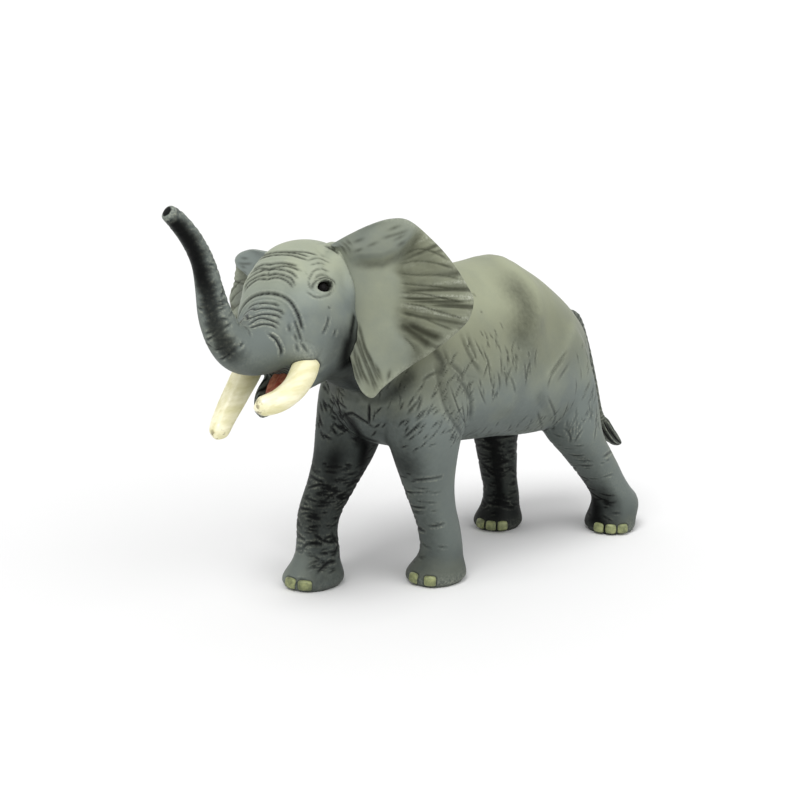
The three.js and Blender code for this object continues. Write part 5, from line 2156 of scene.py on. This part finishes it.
def painted_hide(ear_meshes, tusk_meshes, nail_meshes):
    """The finished hide with its paint masks and normals."""
    hide = hide_surface(ear_meshes.values())
    masks, normals = hide_masks(hide)
    trunk_paint(hide)
    paint_shade_places(hide)
    # Painted shade round the ears' roots, deepest low down, and along the seams of the tusks and the
    # toenails
    low = smoothstep(*EAR_SHADE_LEVELS, in_head(hide.co)[:, 2])
    shade_where_set_in(hide, ear_meshes.values(), EAR_SHADE_REACH, 0.12 + 0.85 * low)
    shade_where_set_in(hide, tusk_meshes.values(), SEAM_SHADE_REACH, np.full(len(low), 0.8))
    shade_where_set_in(hide, nail_meshes.values(), SEAM_SHADE_REACH, np.full(len(low), 0.75))
    paint_mouth(hide)
    masks["wash_and_shade"] = hide.wash_and_shade
    masks["tone_and_shade"] = paint_light_places(hide, masks["tone_and_shade"])
    return hide, masks, normals


def parted(hide):
    """For each face of the hide, the number of the piece that it belongs to."""
    pairs = face_pairs(hide.quads)
    labels = evened_labels(owners_of(hide.co[hide.quads].mean(1)), pairs, 6)
    labels = evened_labels(without_islands(labels, pairs), pairs, 2)
    return without_islands(labels, pairs)


def build_figure():
    """Every visible piece, with its paint, over the node that it stands for."""
    groups = (wash_and_shade_group(), skin_grain_group())
    hide_paint = hide_material("painted_hide", groups, SHADE_AND_WASH_BLACK, BRUSHED)
    ear_paint = hide_material("painted_ear", groups, EAR_SHADE_AND_WASH, BRUSHED, 0.5)
    ivory = tusk_material()
    mouth = simple_material("mouth_red", MOUTH_RED, MOUTH_PINK, 420, 0.35, 0.3)
    nail = simple_material("toenail_yellow", NAIL_YELLOW, NAIL_OLIVE, 500, 0.45, 0.25)
    gloss = eye_material()

    drawn = near_ear_lines(EAR_LINES)
    ear_meshes = {name: ear_mesh(name, drawn) for name in EARS}
    tusk_meshes = {name: tusk_mesh(name) for name in TUSK_SHARES}
    tree = toenail_tree()
    nail_meshes = {name: toenail_mesh(name, tree, nail) for name in LEG_SHARES}
    hide, masks, normals = painted_hide(ear_meshes, tusk_meshes, nail_meshes)

    labels = parted(hide)
    for number, node in enumerate(HIDE_NODES):
        mesh = part_of_hide(hide, node + "_hide", labels == number, masks, normals)
        add_piece(node + "_hide", mesh, hide_paint, "skin", node)
    for name, mesh in ear_meshes.items():
        add_piece(name + "_sheet", mesh, ear_paint, "skin", name)
    for name, mesh in tusk_meshes.items():
        add_piece(name + "_horn", mesh, ivory, "tusk", name)
    add_piece("tongue_body", tongue_mesh(), mouth, "mouth", "tongue")
    for name, place in zip(("eye_left", "eye_right"), eye_places()):
        add_piece(name + "_ball", eye_mesh(name, place), gloss, "eye", name)
    add_piece("tail_and_tuft", tail_mesh(), hide_paint, "skin", "tail")
    for name, mesh in nail_meshes.items():
        add_piece(name + "_toenails", mesh, nail, "tusk")


def set_up_camera():
    """The camera at the photo's place and angle."""
    lens = bpy.data.cameras.new("photo_camera")
    lens.sensor_width = SENSOR_WIDTH
    lens.lens = PHOTO_FOCAL / PHOTO_SIDE * SENSOR_WIDTH
    lens.clip_start = CAMERA_NEAR
    lens.clip_end = CAMERA_FAR
    camera = bpy.data.objects.new("photo_camera", lens)
    camera.location = CAMERA_PLACE
    camera.rotation_mode = "QUATERNION"
    camera.rotation_quaternion = (-CAMERA_BACK).to_track_quat("-Z", "Y")
    bpy.context.scene.collection.objects.link(camera)
    bpy.context.scene.camera = camera


def add_sun(name, strength, spread, azimuth, elevation):
    """A broad soft lamp; its angles are in degrees, round from the front and up from the floor."""
    lamp = bpy.data.lights.new(name, "SUN")
    lamp.energy = strength
    lamp.angle = math.radians(spread)
    made = bpy.data.objects.new(name, lamp)
    a = math.radians(azimuth)
    e = math.radians(elevation)
    toward = Vector((math.sin(a) * math.cos(e), -math.cos(a) * math.cos(e), math.sin(e)))
    made.rotation_mode = "QUATERNION"
    made.rotation_quaternion = (-toward).to_track_quat("-Z", "Y")
    bpy.context.scene.collection.objects.link(made)


def set_up_floor():
    """A plain white floor that keeps the figure's shadow."""
    corners = [(x * FLOOR_HALF, y * FLOOR_HALF, 0) for x, y in ((-1, -1), (1, -1), (1, 1), (-1, 1))]
    floor_mesh = mesh_of("floor", corners, [(0, 1, 2, 3)])
    floor = bpy.data.objects.new("floor", floor_mesh)
    floor.location = (0, 0, -FLOOR_DROP)
    bpy.context.scene.collection.objects.link(floor)
    material, _, shader = new_material("white_floor")
    shader.inputs["Base Color"].default_value = (0.86, 0.86, 0.86, 1)
    shader.inputs["Roughness"].default_value = 0.9
    shader.inputs["Specular IOR Level"].default_value = 0.1
    floor_mesh.materials.append(material)


def set_up_studio():
    """The floor, a white world that the camera and the gloss see, and two soft lamps."""
    set_up_floor()
    world = bpy.data.worlds.new("studio")
    world.use_nodes = True
    n = Nodes(world.node_tree)
    background = world.node_tree.nodes["Background"]
    background.inputs["Color"].default_value = (1, 1, 1, 1)
    path = n.add("ShaderNodeLightPath")
    seen = n.number("MAXIMUM", path.outputs["Is Camera Ray"], path.outputs["Is Glossy Ray"])
    n.feed(background.inputs["Strength"], n.span(seen, 0.0, 1.0, WORLD_LIGHT, 1.0))
    bpy.context.scene.world = world
    add_sun("key_light", 1.7, 28, 22, 58)
    add_sun("side_light", 0.8, 50, 100, 35)
    bpy.context.scene.view_settings.view_transform = "Standard"


build_figure()
set_up_camera()
set_up_studio()
